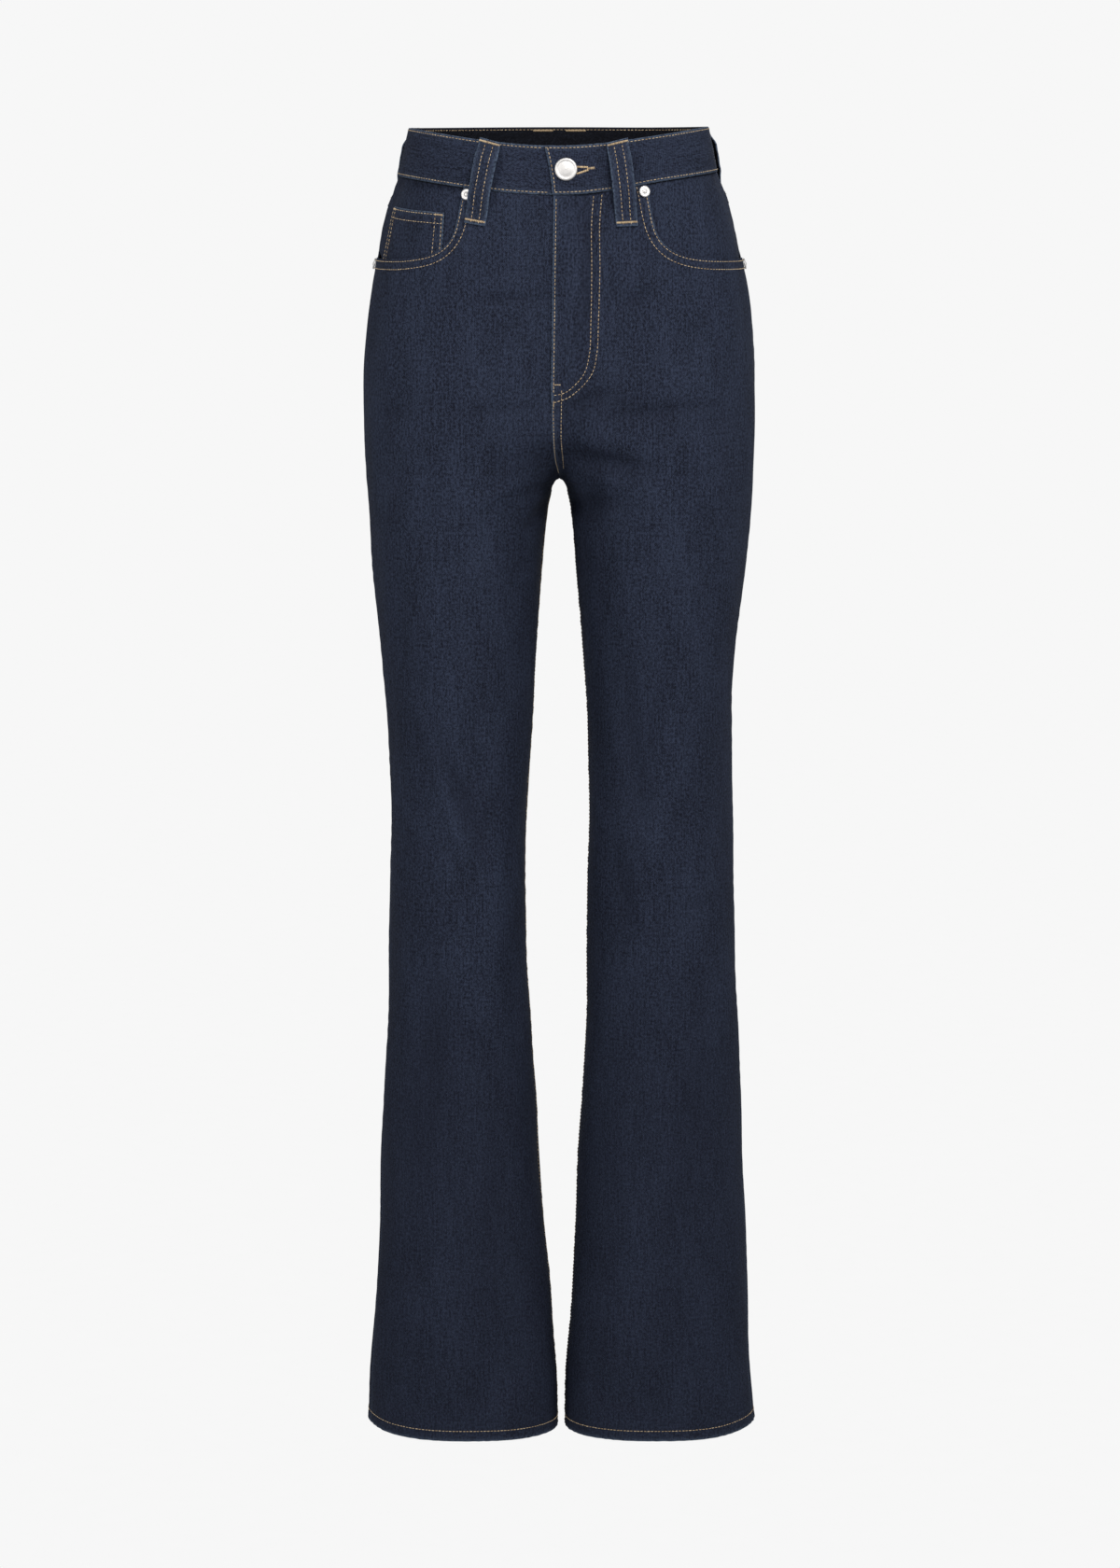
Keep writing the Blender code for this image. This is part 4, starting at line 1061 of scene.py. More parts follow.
def coin_lift(z, g):
    """The coin pocket follows the facing and is thicker at its folded top."""
    rise = facing_lift(z, g, "right") - FACING_LIFT["right"]
    return COIN_LIFT + rise + 0.3 * fades(9.5, 11.0, COIN_TOP - z)


def coin_place(s, drop):
    """Place on the coin pocket: s from 0 (inner side) to 1, drop mm below its top edge."""
    s, drop = arrays(s, drop)
    z = COIN_TOP + COIN_SLOPE * (s - 0.5) - drop
    front = girth(z, "right", "front")
    top = float(girth(COIN_TOP, "right", "front"))
    low = COIN_G[0] * top - 0.8 * (front - top)
    return z, (low * (1 - s) + COIN_G[1] * top * s) / front


def pocket_facing(side):
    """Facing that shows inside the pocket opening."""
    front = float(girth(-60.0, side, "front"))
    way = edged(front * -FACING_EDGE - SEAM_GAP / 2, STEP_ROUND)
    g = (FACING_EDGE + way / front)[None, :]
    v = shares(90.0, 3.0)[:, None]
    z = waist_seam(g) * (1 - v) + FACING_BOTTOM * v
    lift = facing_lift(z, g, side)
    node = "pocket_facing_" + side
    stands_for(shell(node + "_cloth", z, g, side, lift, FACING_WALL), node,
               flat=(0.158, 0.096), area=0.01385, held="laid", rests_on=["waistband"])


def coin_pocket():
    """Small pocket on the wearer's right facing, with a folded top."""
    z, g = coin_place(shares(COIN_WIDE, 2.6)[None, :], edged(COIN_TOP - COIN_BOTTOM, 2.6)[:, None])
    made = shell("coin_pocket_cloth", z, g, "right", coin_lift(z, g), COIN_WALL,
                 ("top", "start", "end"))
    stands_for(made, "coin_pocket", flat=(0.075, 0.067), held="laid",
               rests_on=["pocket_facing_right"])


BACK_POCKET_G = 0.54
BACK_POCKET_TOP = -88.0
BACK_POCKET_TILT = 6.0
BACK_POCKET_HALF = (75.0, 64.0)
BACK_POCKET_SIDE = 126.0
BACK_POCKET_POINT = 24.0
BACK_POCKET_WALL = 1.4
BACK_POCKET_LIFT = FELL_LIFT + BACK_POCKET_WALL


def back_pocket_at(p, v, side):
    """Height and ring place on a back pocket at -1..1 across and 0..1 down."""
    back = float(girth(-150.0, side, "back"))
    half = BACK_POCKET_HALF[0] * (1 - v) + BACK_POCKET_HALF[1] * v
    g = BACK_POCKET_G + p * half / back
    fall = BACK_POCKET_SIDE + BACK_POCKET_POINT * (1 - np.abs(p))
    return BACK_POCKET_TOP - BACK_POCKET_TILT * p - fall * v, g


def back_pocket_lift(p, v):
    """The pocket's folded top is thicker, and its middle swells a little."""
    swell = smoothstep(2.0, 22.0, np.minimum(1 - np.abs(p), 0.3) * BACK_POCKET_HALF[0])
    swell = swell * smoothstep(0.04, 0.2, v) * smoothstep(1.0, 0.8, v)
    return BACK_POCKET_LIFT + 0.35 * fades(0.075, 0.09, v) + 0.8 * swell


def back_pocket(side):
    """Five-cornered patch pocket on the seat."""
    p = 2 * shares(150.0, 3.1)[None, :] - 1
    v = shares(140.0, 3.1)[:, None]
    z, g = back_pocket_at(p, v, side)
    node = "back_pocket_" + side
    made = shell(node + "_cloth", z, g, side, back_pocket_lift(p, v), BACK_POCKET_WALL,
                 ("top", "bottom", "start", "end"))
    stands_for(made, node, flat=(0.150, 0.150), area=0.0194, held="laid", rests_on=["back_" + side])


# ---------------------------------------------------------------- belt loops

LOOP_WIDTH = 18.0
LOOP_WALL = 1.8
LOOP_STAND = 4.5
LOOP_OVER = {"front": 0.8, "back": -0.5}    # how far a loop's end stands over the band's edge
# name, side, top's distance from the centre line, slant away from it, half, length,
# slope of the top end and of the bottom end
LOOPS = (
    ("belt_loop_front_left", "left", 46.7, 8.5, "front", 69.4, 0.22, 0.0),
    ("belt_loop_front_right", "right", 56.0, 13.0, "front", 68.0, 0.26, 0.16),
    ("belt_loop_side_left", "left", 148.0, 9.0, "back", 64.0, 0.0, 0.0),
    ("belt_loop_side_right", "right", 143.0, 9.0, "back", 64.0, 0.0, 0.0),
    ("belt_loop_back_left", "left", 14.0, 2.0, "back", 64.0, 0.0, 0.0),
    ("belt_loop_back_right", "right", 14.0, 2.0, "back", 64.0, 0.0, 0.0))


def loop_lift(t):
    """Lift of a loop's inner face at share t of its length."""
    bow = smoothstep(0.05, 0.28, t) * fades(0.60, 0.93, t)
    return SEAM_GAP + BAND_LIFT * fades(0.62, 0.92, t) + LOOP_STAND * bow


def loop_point(row, t, w, lift):
    """A place on a belt loop: t down its length, w (mm) across, lift over its inner face."""
    side, away, slant, half, length, slope_top, slope_bottom = row[1:]
    sign = -1.0 if half == "front" else 1.0
    top = float(band_top(sign * (1 - away / float(girth(0.0, side, half)))))
    z = top + LOOP_OVER[half] - length * t
    g = sign * (1 - (away + slant * t - sign * w) / girth(z, side, half))
    return arrays(z + w * (slope_top * (1 - t) + slope_bottom * t), g, loop_lift(t) + lift)


def belt_loop(row):
    """A folded strip that stands off the band between its two bar-tacked ends."""
    name, side, away = row[:3]
    length = row[5]
    w = edged(LOOP_WIDTH, 2.0)[None, :] - LOOP_WIDTH / 2
    t = shares(length, 2.2)[:, None]
    ridge = 0.25 * np.exp(-((np.abs(w) - 7.6) / 1.6) ** 2) - 0.15 * np.exp(-(w / 1.5) ** 2)
    frayed = 0.12 * np.sin(t * length * 2.4 + w) * (np.abs(w) > 7.0)
    z, g, lift = loop_point(row, t, w * (1 + 0.012 * np.sin(9.0 * t + away)),
                            LOOP_WALL + ridge + frayed)
    weave = np.stack(arrays(w + away, -length * t, 0.0), -1)
    made = shell(name + "_cloth", z, g, side, lift, LOOP_WALL, ("start", "end", "top", "bottom"),
                 weave=weave, calm=1.0)
    stands_for(made, name, flat=(0.018, 0.066), held="stretched", rests_on=["waistband"])


# ---------------------------------------------------------------- sewing

PITCH = 3.2                  # from stitch to stitch
STITCH = 2.3                 # length of one
THREAD_RADIUS = 0.29
TACK_RADIUS = 0.30
TACK_RISE = 1.1              # how high a tack's stitches arch, with 1 for a row's
# Rings of a stitch: place along it, width, height
RINGS = ((-1.0, 0.30, -0.30), (-0.8, 0.80, -0.02), (0.0, 1.0, 0.16), (0.8, 0.80, -0.02), (1.0, 0.30, -0.30))
SIDES_ROUND = 6


class Sewing:
    """Collects stitches and makes one mesh of them."""

    def __init__(self, name):
        self.name = name
        self.parts = []
        self.count = 0

    def stitches(self, start, stop, normal, radius=THREAD_RADIUS, rise=1.0):
        """One small arched capsule from each start to each stop point."""
        along = (stop - start) / 2
        middle = (stop + start) / 2
        half = np.linalg.norm(along, axis=1, keepdims=True)
        axis = along / half
        normal = unit(normal - axis * np.sum(normal * axis, 1, keepdims=True))
        side = np.cross(axis, normal)
        turn = np.arange(SIDES_ROUND) * 2 * np.pi / SIDES_ROUND
        rows = []
        for share, wide, high in RINGS:
            ring = middle + axis * half * share + normal * high * rise
            rows += [ring + radius * wide * (np.cos(a) * side + 0.85 * np.sin(a) * normal) for a in turn]
        points = np.stack(rows, 1)
        number = len(points)
        shade = 0.5 + 0.5 * np.sin(12.9898 * (self.count + np.arange(number)) ** 1.31)
        self.count += number
        length = np.array([r[0] for r in RINGS]) * 1.6
        twist = (length[:, None] + turn / (2 * np.pi)).ravel()
        self.parts.append((points.reshape(-1, 3), np.repeat(shade, len(rows)), np.tile(twist, number)))

    def row(self, points, normals, pitch=PITCH):
        """A line of stitches along a run of points."""
        run = run_of(points)
        count = int((run[-1] - STITCH) / pitch) + 1
        if count < 1:
            return
        centre = np.linspace(STITCH / 2, run[-1] - STITCH / 2, count)
        centre = centre + 0.12 * np.sin(2.3 * np.arange(count) + run[-1])
        half = STITCH / 2 * (1 + 0.06 * np.sin(5.1 * np.arange(count)))
        start, stop, out = (np.stack([np.interp(place, run, line[:, k]) for k in range(3)], 1)
                            for place, line in ((centre - half, points), (centre + half, points),
                                                (centre, normals)))
        self.stitches(start, stop, out)

    def along(self, z, g, side, lift, inside=False, calm=0.0, pitch=PITCH):
        """A line of stitches at these places on the cloth, lying on its outer or inner face."""
        out = -1.0 if inside else 1.0
        points, normals = line_on(z, g, side, lift + out * ON_TOP, calm)
        self.row(points, out * normals, pitch)

    def make(self):
        ring = np.arange(SIDES_ROUND)
        after = np.roll(ring, -1)
        low = np.arange(len(RINGS) - 1)[:, None] * SIDES_ROUND
        quads = np.stack([low + ring, low + SIDES_ROUND + ring, low + SIDES_ROUND + after, low + after], 2)
        size = len(RINGS) * SIDES_ROUND
        points, tone, twist = (np.concatenate(part) for part in zip(*self.parts))
        starts = (np.arange(len(points) // size) * size)[:, None, None]
        body = (quads.reshape(-1, 4)[None] + starts).reshape(-1, 4).tolist()
        cap = np.stack([ring, ring[::-1] + size - SIDES_ROUND])
        caps = (cap[None] + starts).reshape(-1, SIDES_ROUND).tolist()
        finish_mesh(self.name, points, body + caps, (THREAD,),
                    values={"tone": tone, "twist": twist}, sharp=80.0)


def normals_at(z, g, side):
    return surface(np.asarray(z, float), np.asarray(g, float), side)[1]


def line_on(z, g, side, lift, calm=0.0):
    """Points and normals of a dense line on the cloth, at this lift over the surface."""
    z, g, lift = arrays(z, g, lift)
    return skin(z, g, side, lift, calm), normals_at(z, g, side)


def dense(values, count=300):
    """A smooth line through a few control points, by chord length."""
    values = np.asarray(values, float)
    run = run_of(values)
    return hermite(run, values, np.gradient(values, run, axis=0), np.linspace(0.0, run[-1], count))


ON_TOP = 0.10                # a row's middle over the cloth's face
ROW_IN = 2.0                 # first row from a folded edge
ROW_APART = 6.4
DENSE_STEP = 0.8             # between the points that a row of stitches follows
HEM_PITCH = 3.0
HEM_ROW = 9.2                # height of the hem's row over its edge
HEM_INSIDE = CLOTH + 1.2     # depth of the hem's inner face
YOKE_ROW_IN = 1.6
SEAT_ROW_IN = 1.8
BACK_POCKET_ROWS = (1.8, 7.4)
BACK_POCKET_TOP_ROWS = (1.8, 10.2)
LOOP_ROW = 3.2               # a loop's rows lie this far from its middle
LOOP_TACK = np.linspace(-8.2, 8.2, 26)
LOOP_TACK_PLACES = (0.035, 0.955)
# Where the band's rows start from the centre front: beside its top and bottom edge
BAND_ROW_STARTS = (("right", (15.0, 9.0)), ("left", (-11.5, -3.5)))


def sew_band(sewing):
    """Rows beside the band's long edges and its lapped end, outside and inside."""
    for side, starts in BAND_ROW_STARTS:
        front, back = halves_at(0.0, side)
        for h, start in zip((ROW_IN, BAND_HEIGHT - ROW_IN), starts):
            for low, inside in ((start, False), (34.0, True)):
                s = np.arange(low - front, back, DENSE_STEP)
                g = np.where(s < 0, s / front, s / back)
                lift = BAND_LIFT - BAND_WALL if inside else band_lift(side, g, front)
                sewing.along(band_top(g) - h, g, side, lift, inside)
    v = np.linspace(0.055, 0.945, 60)
    g = -1 - (lap_end(v) - ROW_IN - 0.3) / front
    sewing.along(band_top(g) - BAND_HEIGHT * v, g, "left", BAND_LIFT + BAND_LAP)


def sew_front_pockets(sewing):
    """Two rows round each front pocket opening."""
    for side in SIDES:
        g, z = pocket_curve(side, 240)
        a = arc(z, g, side)
        da, dz = np.gradient(a), np.gradient(z)
        size = np.hypot(da, dz)
        for away in (ROW_IN, ROW_IN + ROW_APART):
            px = a + away * dz / size
            pz = z - away * da / size
            keep = (pz < waist_seam(px / girth(-40.0, side, "front")) - 0.8) & (px < -1.0)
            px, pz = px[keep], pz[keep]
            place = px / girth(pz, side, "front")
            sewing.along(pz, place, side, front_lift(pz, place, side))


# Rows at the fly as x and z: beside its edge, the J's inner and outer row, the front rise
FLY_ROWS = (
    ((-2.6, -37.5), (-3.3, -81.0), (-3.8, -120.0), (-4.5, -165.0), (-4.9, -194.0)),
    ((27.8, -35.5), (26.4, -52.9), (26.3, -94.2), (25.7, -136.5), (24.2, -164.5),
     (20.8, -177.4), (12.6, -188.0), (4.0, -194.2), (-4.6, -196.0)),
    ((34.6, -35.0), (33.0, -52.9), (32.9, -94.2), (31.8, -136.5), (30.6, -161.5),
     (27.2, -177.4), (18.2, -189.6), (7.0, -198.2), (-4.8, -202.0)),
    ((-5.1, -203.0), (-4.9, -222.0), (-4.4, -240.0), (-3.2, -254.0), (-0.6, -266.0)),
    ((1.9, -192.0), (1.6, -210.0), (1.5, -232.0), (2.2, -247.0), (3.6, -260.0)))


def sew_fly(sewing):
    """Rows beside the fly's edge, its J and the front rise."""
    for table in FLY_ROWS:
        x, z = dense(table).T
        g = place_of(x, z, "left")
        sewing.along(z, g, "left", front_lift(z, g, "left"))


def bartack(sewing, z, g, side, lift, wide, high, across):
    """A dense zigzag: wide along the direction across (in arc, z), high to the other way."""
    across = np.asarray(across, float) / np.linalg.norm(across)
    up = np.array((-across[1], across[0]))
    length = float(girth(z, side, "front" if g < 0 else "back"))
    count = max(int(wide / 0.62), 3)
    place = np.linspace(-wide / 2, wide / 2, count)
    lean = 0.35 * (-1.0) ** np.arange(count)
    ends = []
    for share in (-0.5, 0.5):
        a, b = (place * across[k] + high * share * up[k] + lean * share * across[k] for k in (0, 1))
        ends.append(skin(z + b, g + a / length, side, lift))
    normal = normals_at(z + 0 * place, g + 0 * place, side)
    sewing.stitches(*ends, normal, TACK_RADIUS, TACK_RISE)


def sew_coin(sewing):
    """Double rows along the coin pocket's top and sides, and its two tacks."""
    def row(s, drop):
        z, g = coin_place(s, drop)
        sewing.along(z, g, "right", coin_lift(z, g))

    for drop in (ROW_IN, ROW_IN + ROW_APART + 0.6):
        row(np.linspace(0.02, 0.98, 120), drop)
    for away in (ROW_IN, ROW_IN + ROW_APART):
        drop = np.arange(1.0, COIN_TOP - COIN_BOTTOM - 2.0, DENSE_STEP)
        row(away / COIN_WIDE, drop)
        row(1 - away / COIN_WIDE, drop)
    for s in (5.0 / COIN_WIDE, 1 - 5.0 / COIN_WIDE):
        z, g = (float(value) for value in coin_place(s, ROW_IN))
        bartack(sewing, z, g, "right", float(coin_lift(z, g)) + ON_TOP, 7.5, 1.3, (1.0, 0.06))


def sew_loops(sewing):
    """Two rows down each belt loop, its bar tacks, and those inside the band's back."""
    w = LOOP_TACK
    for row in LOOPS:
        side, away, _, half, length = row[1:6]
        for middle in (-LOOP_ROW, LOOP_ROW):
            z, g, lift = loop_point(row, np.linspace(0.02, 0.98, 120), middle, LOOP_WALL)
            sewing.along(z, g, side, lift, calm=1.0)
        for t in LOOP_TACK_PLACES:
            ends = []
            for shift in (-0.85, 0.85):
                z, g, lift = loop_point(row, t + shift / length, w + 0.12 * shift, LOOP_WALL + 0.25)
                ends.append(skin(z, g, side, lift, 1.0))
            z, g, lift = loop_point(row, t, w, 0.0)
            sewing.stitches(*ends, normals_at(z, g, side), TACK_RADIUS)
        if half == "back" and away < 60:
            z, g, lift = loop_point(row, LOOP_TACK_PLACES[0], w, 0.0)
            ends = [skin(z + shift, g, side, BAND_LIFT - BAND_WALL - 0.15) for shift in (-0.9, 0.9)]
            sewing.stitches(*ends, -normals_at(z, g, side), TACK_RADIUS)


def sew_back(sewing):
    """Yoke and seat seams, and the back pockets."""
    for side in SIDES:
        back = float(girth(-60.0, side, "back"))
        g = np.arange(2.0, back - 1.0, DENSE_STEP) / back
        for away in (YOKE_ROW_IN, YOKE_ROW_IN + ROW_APART):
            sewing.along(yoke_seam(g) + away, g, side, FELL_LIFT)
        back_pocket_rows(sewing, side)
    for away in (SEAT_ROW_IN, SEAT_ROW_IN + ROW_APART):
        z = np.arange(-43.0, CROTCH + 6.0, -DENSE_STEP)
        g = 1 - away / girth(z, "left", "back")
        off_yoke = np.abs(z - yoke_seam(g)) > 1.2
        sewing.along(z[off_yoke], g[off_yoke], "left", FELL_LIFT)


def back_pocket_rows(sewing, side):
    """A five-cornered double row, two rows along the pocket's folded top, and its tacks."""
    top_half, low_half = BACK_POCKET_HALF

    def at(x, drop):
        """Point x from the middle and drop under the top edge."""
        v = drop / (BACK_POCKET_SIDE + BACK_POCKET_POINT * (1 - np.abs(x) / top_half))
        p = x / (top_half * (1 - v) + low_half * v)
        z, g = back_pocket_at(p, v, side)
        return line_on(z, g, side, back_pocket_lift(p, v) + ON_TOP)

    t = np.linspace(0.0, 1.0, 160)
    for away in BACK_POCKET_ROWS:
        corner = BACK_POCKET_SIDE - away * 0.8
        point = BACK_POCKET_SIDE + BACK_POCKET_POINT - away * 1.06
        path = [(away - top_half, 1.5), (away - low_half, corner), (0.0, point),
                (low_half - away, corner), (top_half - away, 1.5)]
        for (x0, y0), (x1, y1) in zip(path, path[1:]):
            sewing.row(*at(x0 + (x1 - x0) * t, y0 + (y1 - y0) * t))
    for drop in BACK_POCKET_TOP_ROWS:
        sewing.row(*at((2 * t - 1) * (top_half - 2.5), drop))
    for x in (4.5 - top_half, top_half - 4.5):
        y = np.linspace(1.2, 10.5, 15)
        start, stop = at(x - 0.9, y), at(x + 0.9, y)
        sewing.stitches(start[0], stop[0], start[1], TACK_RADIUS, TACK_RISE)


def sew_legs(sewing):
    """Hem rows all round both legs, and one row beside each inseam."""
    for side in SIDES:
        for half, sign, lift_of in (("front", -1.0, front_lift), ("back", 1.0, back_lift)):
            length = float(girth(HEM, side, half))
            g = sign * np.arange(1.0, length - 1.0, DENSE_STEP) / length
            z = hem_height(HEM + HEM_ROW + 0 * g, g)
            for inside, depth in ((False, 0.0), (True, HEM_INSIDE)):
                sewing.along(z, g, side, lift_of(z, g, side) - depth, inside, pitch=HEM_PITCH)
        z = np.arange(CROTCH - 10.0, HEM + 1.5, -DENSE_STEP)
        half, sign, lift_of = ("front", -1, front_lift) if side == "right" else ("back", 1, back_lift)
        g = sign * (1 - 2.0 / girth(z, side, half))
        sewing.along(hem_height(z, g), g, side, lift_of(z, g, side))


# Keyhole buttonhole: its eye is round the button's post, its legs run to the wearer's left
EYE_RADIUS = 3.4
LEG_END = 17.5               # from the button's middle to the bartack
LEG_APART = 1.15


def keyhole(count):
    """Middle line of the buttonhole's edge as offsets (right of view, up) and outward ways."""
    bend = np.linspace(0.30, 2 * np.pi - 0.30, 40)
    eye = np.stack([EYE_RADIUS * np.cos(bend), EYE_RADIUS * np.sin(bend)], 1)
    upper = ((LEG_END, 0.55), (9.0, LEG_APART))
    lower = ((9.0, -LEG_APART * 2.6), (LEG_END, -0.35))
    line = np.concatenate([upper, eye, lower])
    run = run_of(line)
    want = np.linspace(0.0, run[-1], count)
    points = np.stack([np.interp(want, run, line[:, k]) for k in range(2)], 1)
    way = unit(np.gradient(points, axis=0))
    return points, np.stack([way[:, 1], -way[:, 0]], 1)


def sew_buttonhole(sewing):
    """Stitches across the buttonhole's edge, and the tack at its end."""
    points, out = keyhole(110)
    front = float(girth(BUTTON_Z, "left", "front"))
    lift = BAND_LIFT + BAND_LAP + 0.22
    (start, _), (stop, _), (_, normal) = (
        line_on(BUTTON_Z + spot[:, 1], BUTTON_G + spot[:, 0] / front, "left", lift)
        for spot in (points - 0.15 * out, points + 1.55 * out, points))
    sewing.stitches(start, stop, normal, THREAD_RADIUS, 1.2)
    bartack(sewing, BUTTON_Z + 0.3, BUTTON_G + (LEG_END + 2.6) / front, "left", lift, 5.5, 2.0, (1.0, 0.06))


def sew_tacks(sewing):
    """Short bartacks at the fly and inside it."""
    for x, z, wide, way in ((-2.0, -187.5, 5.5, (1.0, 0.0)), (-4.9, -203.0, 4.0, (0.0, 1.0))):
        g = float(place_of(x, z, "left"))
        lift = float(front_lift(np.array([z]), np.array([g]), "left")[0])
        bartack(sewing, z, g, "left", lift + ON_TOP, wide, 0.9, way)


# ---------------------------------------------------------------- metal

BUTTON_Z = -13.8
BUTTON_G = -0.972
SHANK_RADIUS = 2.6
BUTTON_RADIUS = 9.2
RIVET_RADIUS = 4.75
RIVET_DROP = RIVET_RADIUS + 0.2
LOWER_RIVET_Z = -92.5
# name, side, ring place, height (under the waist seam where none is given)
RIVETS = (
    ("rivet_front_left", "left", -0.652, None),
    ("rivet_front_right", "right", -0.622, None),
    ("rivet_side_left", "left", -0.070, LOWER_RIVET_Z),
    ("rivet_side_right", "right", -0.070, LOWER_RIVET_Z))


def place_at(z, g, side, lift):
    """Matrix with its Z axis pointing out of the cloth at a place on the surface."""
    points, normals = line_on([z], [g], side, lift)
    out = Vector(normals[0])
    across = Vector((0.0, 0.0, 1.0)).cross(out).normalized()
    turn = Matrix((across, out.cross(across), out)).transposed().to_4x4()
    return Matrix.Translation(Vector(points[0] * MM)) @ turn


def smooth_profile(profile):
    """More points along a turned profile, rounding its corners a little."""
    line = np.asarray(profile, float)
    for _ in range(2):
        cut = [np.stack([a * 0.82 + b * 0.18, a * 0.18 + b * 0.82]) for a, b in zip(line, line[1:])]
        line = np.concatenate([line[:1], *cut, line[-1:]])
    return line


def turned(name, profile, matrix, sides):
    """A closed body turned round Z; the profile runs from axis to axis, bottom to top."""
    profile = smooth_profile(profile)
    bend = np.arange(sides) * 2 * np.pi / sides
    points = [(0.0, 0.0, profile[0][1])]
    for radius, height in profile[1:-1]:
        points += [(radius * np.cos(a), radius * np.sin(a), height) for a in bend]
    points.append((0.0, 0.0, profile[-1][1]))
    last = len(points) - 1
    faces = []
    for k in range(sides):
        n = (k + 1) % sides
        faces.append((0, 1 + n, 1 + k))
        for low in range(1, last - sides, sides):
            faces.append((low + k, low + n, low + sides + n, low + sides + k))
        faces.append((last - sides + k, last - sides + n, last))
    spread = [matrix @ (Vector(p) * MM) / MM for p in points]
    return finish_mesh(name, spread, faces, (METAL,), sharp=40.0)


def button():
    """Domed tack button: its shank stands on the right end, through the left one."""
    seat = BAND_LIFT + SEAM_GAP
    cap = seat + BAND_LAP
    rim = ((0.7, 0.0), (0.0, 0.5), (-0.05, 1.1), (0.5, 1.85), (1.3, 2.1), (2.1, 1.95), (2.7, 1.75),
           (3.6, 1.9), (5.6, 2.3), (BUTTON_RADIUS, 2.55))
    profile = [(0.0, seat), (SHANK_RADIUS, seat), (SHANK_RADIUS, cap)]
    profile += [(BUTTON_RADIUS - inward, cap + rise) for inward, rise in rim]
    made = turned("button_cap", profile, place_at(BUTTON_Z, BUTTON_G, "left", 0.0), 72)
    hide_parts("button")


def rivet(name, side, g, z):
    """Domed pocket rivet on the front panel, by default just under the waist seam."""
    if z is None:
        z = float(waist_seam(g)) - RIVET_DROP
    r = RIVET_RADIUS
    profile = ((0.0, SEAM_GAP), (r - 0.5, SEAM_GAP), (r, 0.9), (r - 0.25, 1.45), (r - 0.9, 1.8),
               (r - 1.8, 1.72), (r - 2.5, 1.6), (1.5, 2.0), (0.8, 2.25), (0.0, 2.35))
    made = turned(name + "_cap", profile, place_at(z, g, side, ROW_LIFT), 48)
    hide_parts(name)


ZIP_TOP = -40.0
ZIP_BOTTOM = -190.0
ZIP_LIFT = -CLOTH - SEAM_GAP
TOOTH_PITCH = 2.0
TOOTH_SIDES = ((0, 1, 2, 3), (7, 6, 5, 4), (0, 4, 5, 1), (1, 5, 6, 2), (2, 6, 7, 3), (3, 7, 4, 0))


def zip_fastener():
    """Two tapes with their teeth closed, and the slider at the top."""
    strip("zip_tape_cloth", "zip_fly", -13.0, 13.0, ZIP_TOP, ZIP_BOTTOM, ZIP_LIFT - 0.35, 0.5,
          (TAPE, TAPE), "zip", flat=(0.026, 0.150), held="laid", rests_on=["fly_shield"])
    points = []
    faces = []
    for n in range(int((ZIP_TOP - ZIP_BOTTOM - 14.0) / TOOTH_PITCH)):
        way = 1 if n % 2 else -1
        z = ZIP_TOP - 9.0 - TOOTH_PITCH * n + np.array([-0.55, 0.55, 0.55, -0.55] * 2)
        x = way * (0.6 + np.array([-0.9, -0.9, 1.4, 1.4] * 2))
        lift = ZIP_LIFT - 0.1 - np.repeat((0.0, 1.0), 4)
        faces += [tuple(len(points) + k for k in quad[::-way]) for quad in TOOTH_SIDES]
        points.extend(skin(z, -1 + x / girth(z, "right", "front"), "right", lift))
    finish_mesh("zip_teeth", points, faces, (METAL,), sharp=30.0)
    z = ZIP_TOP - edged(11.0, 1.0)[:, None]
    wide = 4.2 - 1.4 * np.abs((z - ZIP_TOP + 5.5) / 5.5) ** 3
    g = -1 + np.linspace(-1.0, 1.0, 13)[None, :] * wide / girth(z, "right", "front")
    shell("zip_slider", z, g, "right", ZIP_LIFT + 0.1, 1.3, finishes=(METAL, METAL))


# ---------------------------------------------------------------- studio

# Places and sizes in metres
BACKGROUND = 0.930           # linear value of the pale backdrop
AROUND = 0.42                # strength of the even light
FLOOR = -1.150
# name, place, height that it looks at, size, watts
LIGHTS = (
    ("key", (0.9, -2.2, 1.6), -0.30, (0.8, 0.8), 41.0),
    ("front", (-0.5, -2.9, -0.1), -0.55, (1.0, 1.6), 5.0),
    ("left_fill", (-1.9, -1.9, 0.5), -0.45, (0.8, 1.4), 18.0),
    ("right_fill", (2.1, -1.5, 0.2), -0.45, (0.8, 1.4), 9.0),
    ("back", (0.3, 3.1, 0.5), -0.5, (1.0, 1.6), 36.0))
CAMERA_AT = (0.0005, -3.40, 0.008)
CAMERA_TO = (0.0005, 0.0, -0.535)
CAMERA_LENS = 92.23
SENSOR = 36.0


def aimed(location, target):
    """Rotation of a camera or light that looks from location to target."""
    way = Vector(target) - Vector(location)
    return way.to_track_quat("-Z", "Y").to_euler()


def area_light(name, location, height, size, power):
    """A soft light that looks at a height on the body's axis."""
    data = bpy.data.lights.new(name, "AREA")
    data.shape = "RECTANGLE"
    data.size, data.size_y = size
    data.energy = power
    light = add_object(name, data)
    light.location = location
    light.rotation_euler = aimed(location, (0.0, 0.0, height))


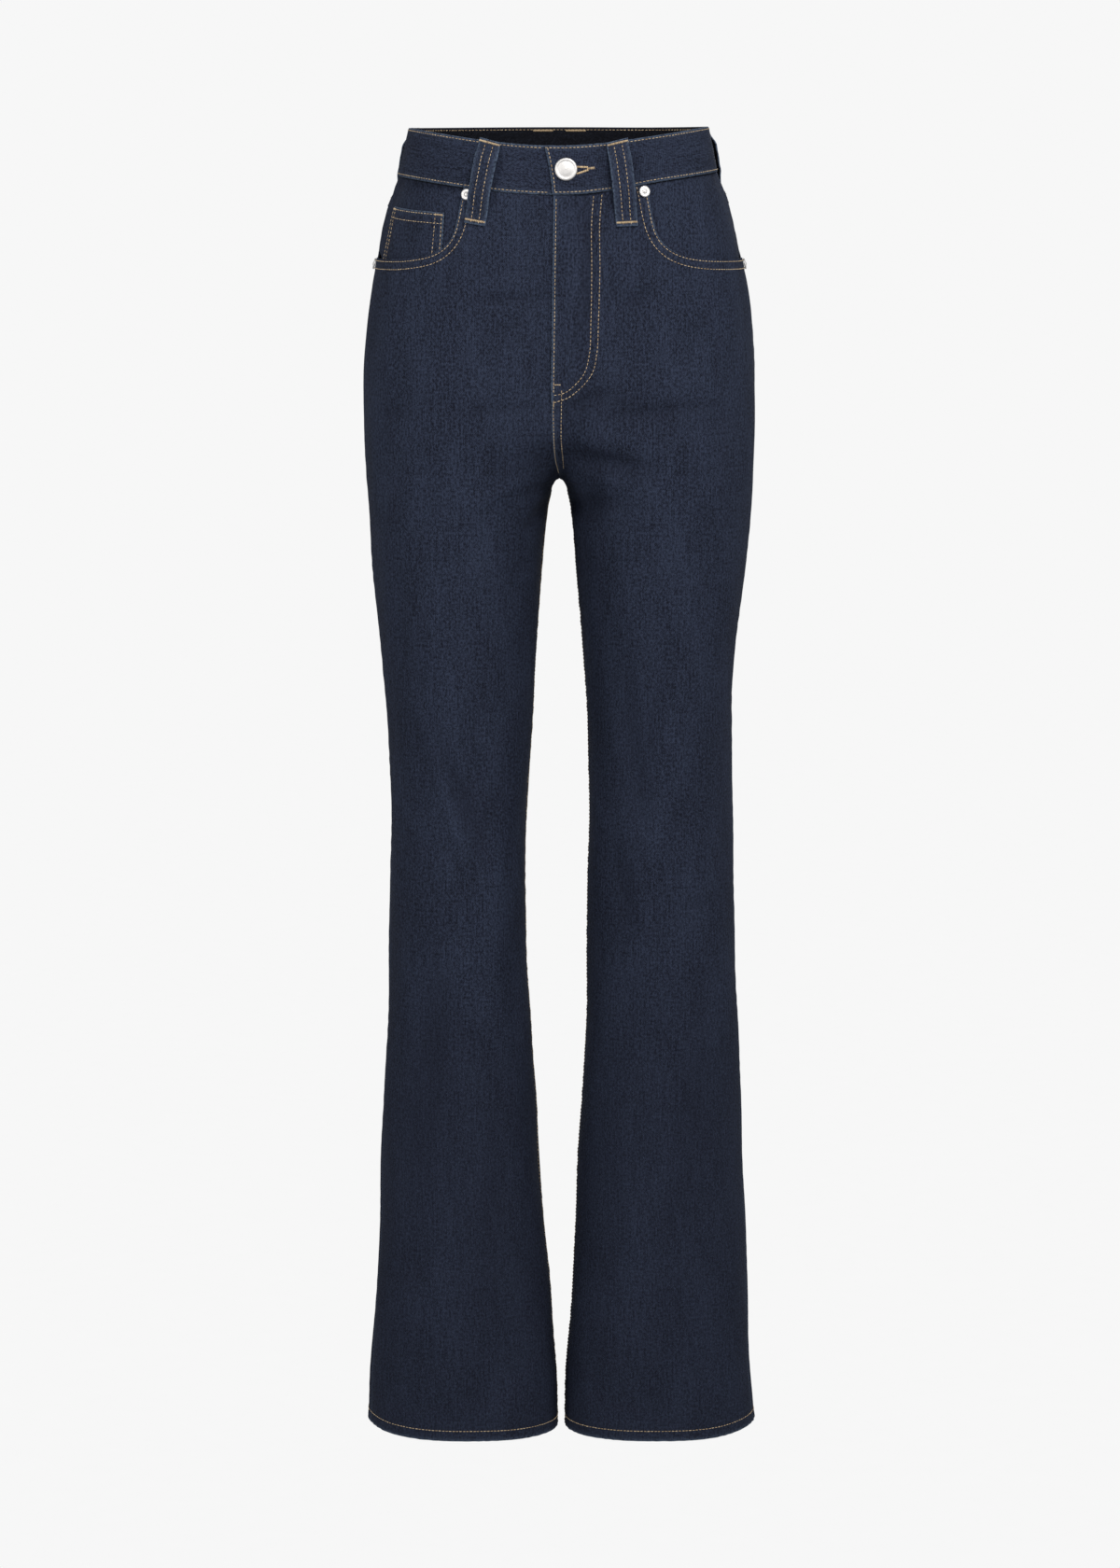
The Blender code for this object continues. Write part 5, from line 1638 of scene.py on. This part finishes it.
def world():
    """Even light all round, which the camera sees as the pale backdrop."""
    made = bpy.data.worlds.new("studio")
    bpy.context.scene.world = made
    made.use_nodes = True
    nodes, links = made.node_tree.nodes, made.node_tree.links
    seen = nodes["Background"]
    seen.inputs["Color"].default_value = (BACKGROUND, BACKGROUND, BACKGROUND, 1.0)
    lit = nodes.new("ShaderNodeBackground")
    lit.inputs["Color"].default_value = (0.93, 0.96, 1.0, 1.0)
    lit.inputs["Strength"].default_value = AROUND
    path = nodes.new("ShaderNodeLightPath")
    pick = nodes.new("ShaderNodeMixShader")
    for n, output in enumerate((path.outputs["Is Camera Ray"], lit.outputs[0], seen.outputs[0])):
        links.new(output, pick.inputs[n])
    links.new(pick.outputs[0], nodes["World Output"].inputs["Surface"])


def pale_floor():
    """A round floor in the backdrop's tone."""
    finish = Finish("pale_floor")
    grain = finish.noise(finish.add("TexCoord").outputs["Object"], (40.0, 40.0, 40.0), 2.0)
    tint = finish.mix(grain, (0.925, 0.925, 0.925), (0.935, 0.935, 0.935))
    glow = finish.add("Emission", {0: tint})
    finish.put(finish.tree.nodes["Material Output"].inputs["Surface"], glow.outputs[0])
    mesh = bpy.data.meshes.new("floor")
    ring = [(6.0 * np.cos(a), 6.0 * np.sin(a), FLOOR) for a in np.linspace(0, 2 * np.pi, 65)[:-1]]
    mesh.from_pydata([(0.0, 0.0, FLOOR)] + ring, [], [(0, 1 + k, 1 + (k + 1) % 64) for k in range(64)])
    mesh.materials.append(finish.material)
    floor = add_object("floor", mesh)
    floor.visible_diffuse = False
    floor.visible_glossy = False


def studio():
    scene = bpy.context.scene
    scene.view_settings.view_transform = "Standard"
    world()
    for row in LIGHTS:
        area_light(*row)
    pale_floor()
    data = bpy.data.cameras.new("camera")
    data.sensor_fit = "VERTICAL"
    data.sensor_height = SENSOR
    data.lens = CAMERA_LENS
    camera = add_object("camera", data)
    camera.location = CAMERA_AT
    camera.rotation_euler = aimed(CAMERA_AT, CAMERA_TO)
    scene.camera = camera


# ---------------------------------------------------------------- the whole garment

def main():
    studio()
    for side in SIDES:
        for make in (front_panel, back_panel, yoke, pocket_facing, back_pocket):
            make(side)
    coin_pocket()
    waistband()
    strip("fly_shield_cloth", "fly_shield", -14.0, 30.0, -38.0, FLY_END,
          -CLOTH - SHIELD_WALL - 2 * SEAM_GAP, SHIELD_WALL, CLOTH_FINISH, "denim",
          flat=(0.044, 0.160), held="laid", rests_on=["front_right"])
    for row in LOOPS:
        belt_loop(row)
    button()
    for row in RIVETS:
        rivet(*row)
    zip_fastener()
    for name, rows in (("topstitching", (sew_band, sew_front_pockets, sew_fly, sew_coin, sew_back)),
                       ("leg_topstitching", (sew_legs,)),
                       ("loop_stitching_and_tacks", (sew_loops, sew_buttonhole, sew_tacks))):
        sewing = Sewing(name)
        for sew in rows:
            sew(sewing)
        sewing.make()


main()
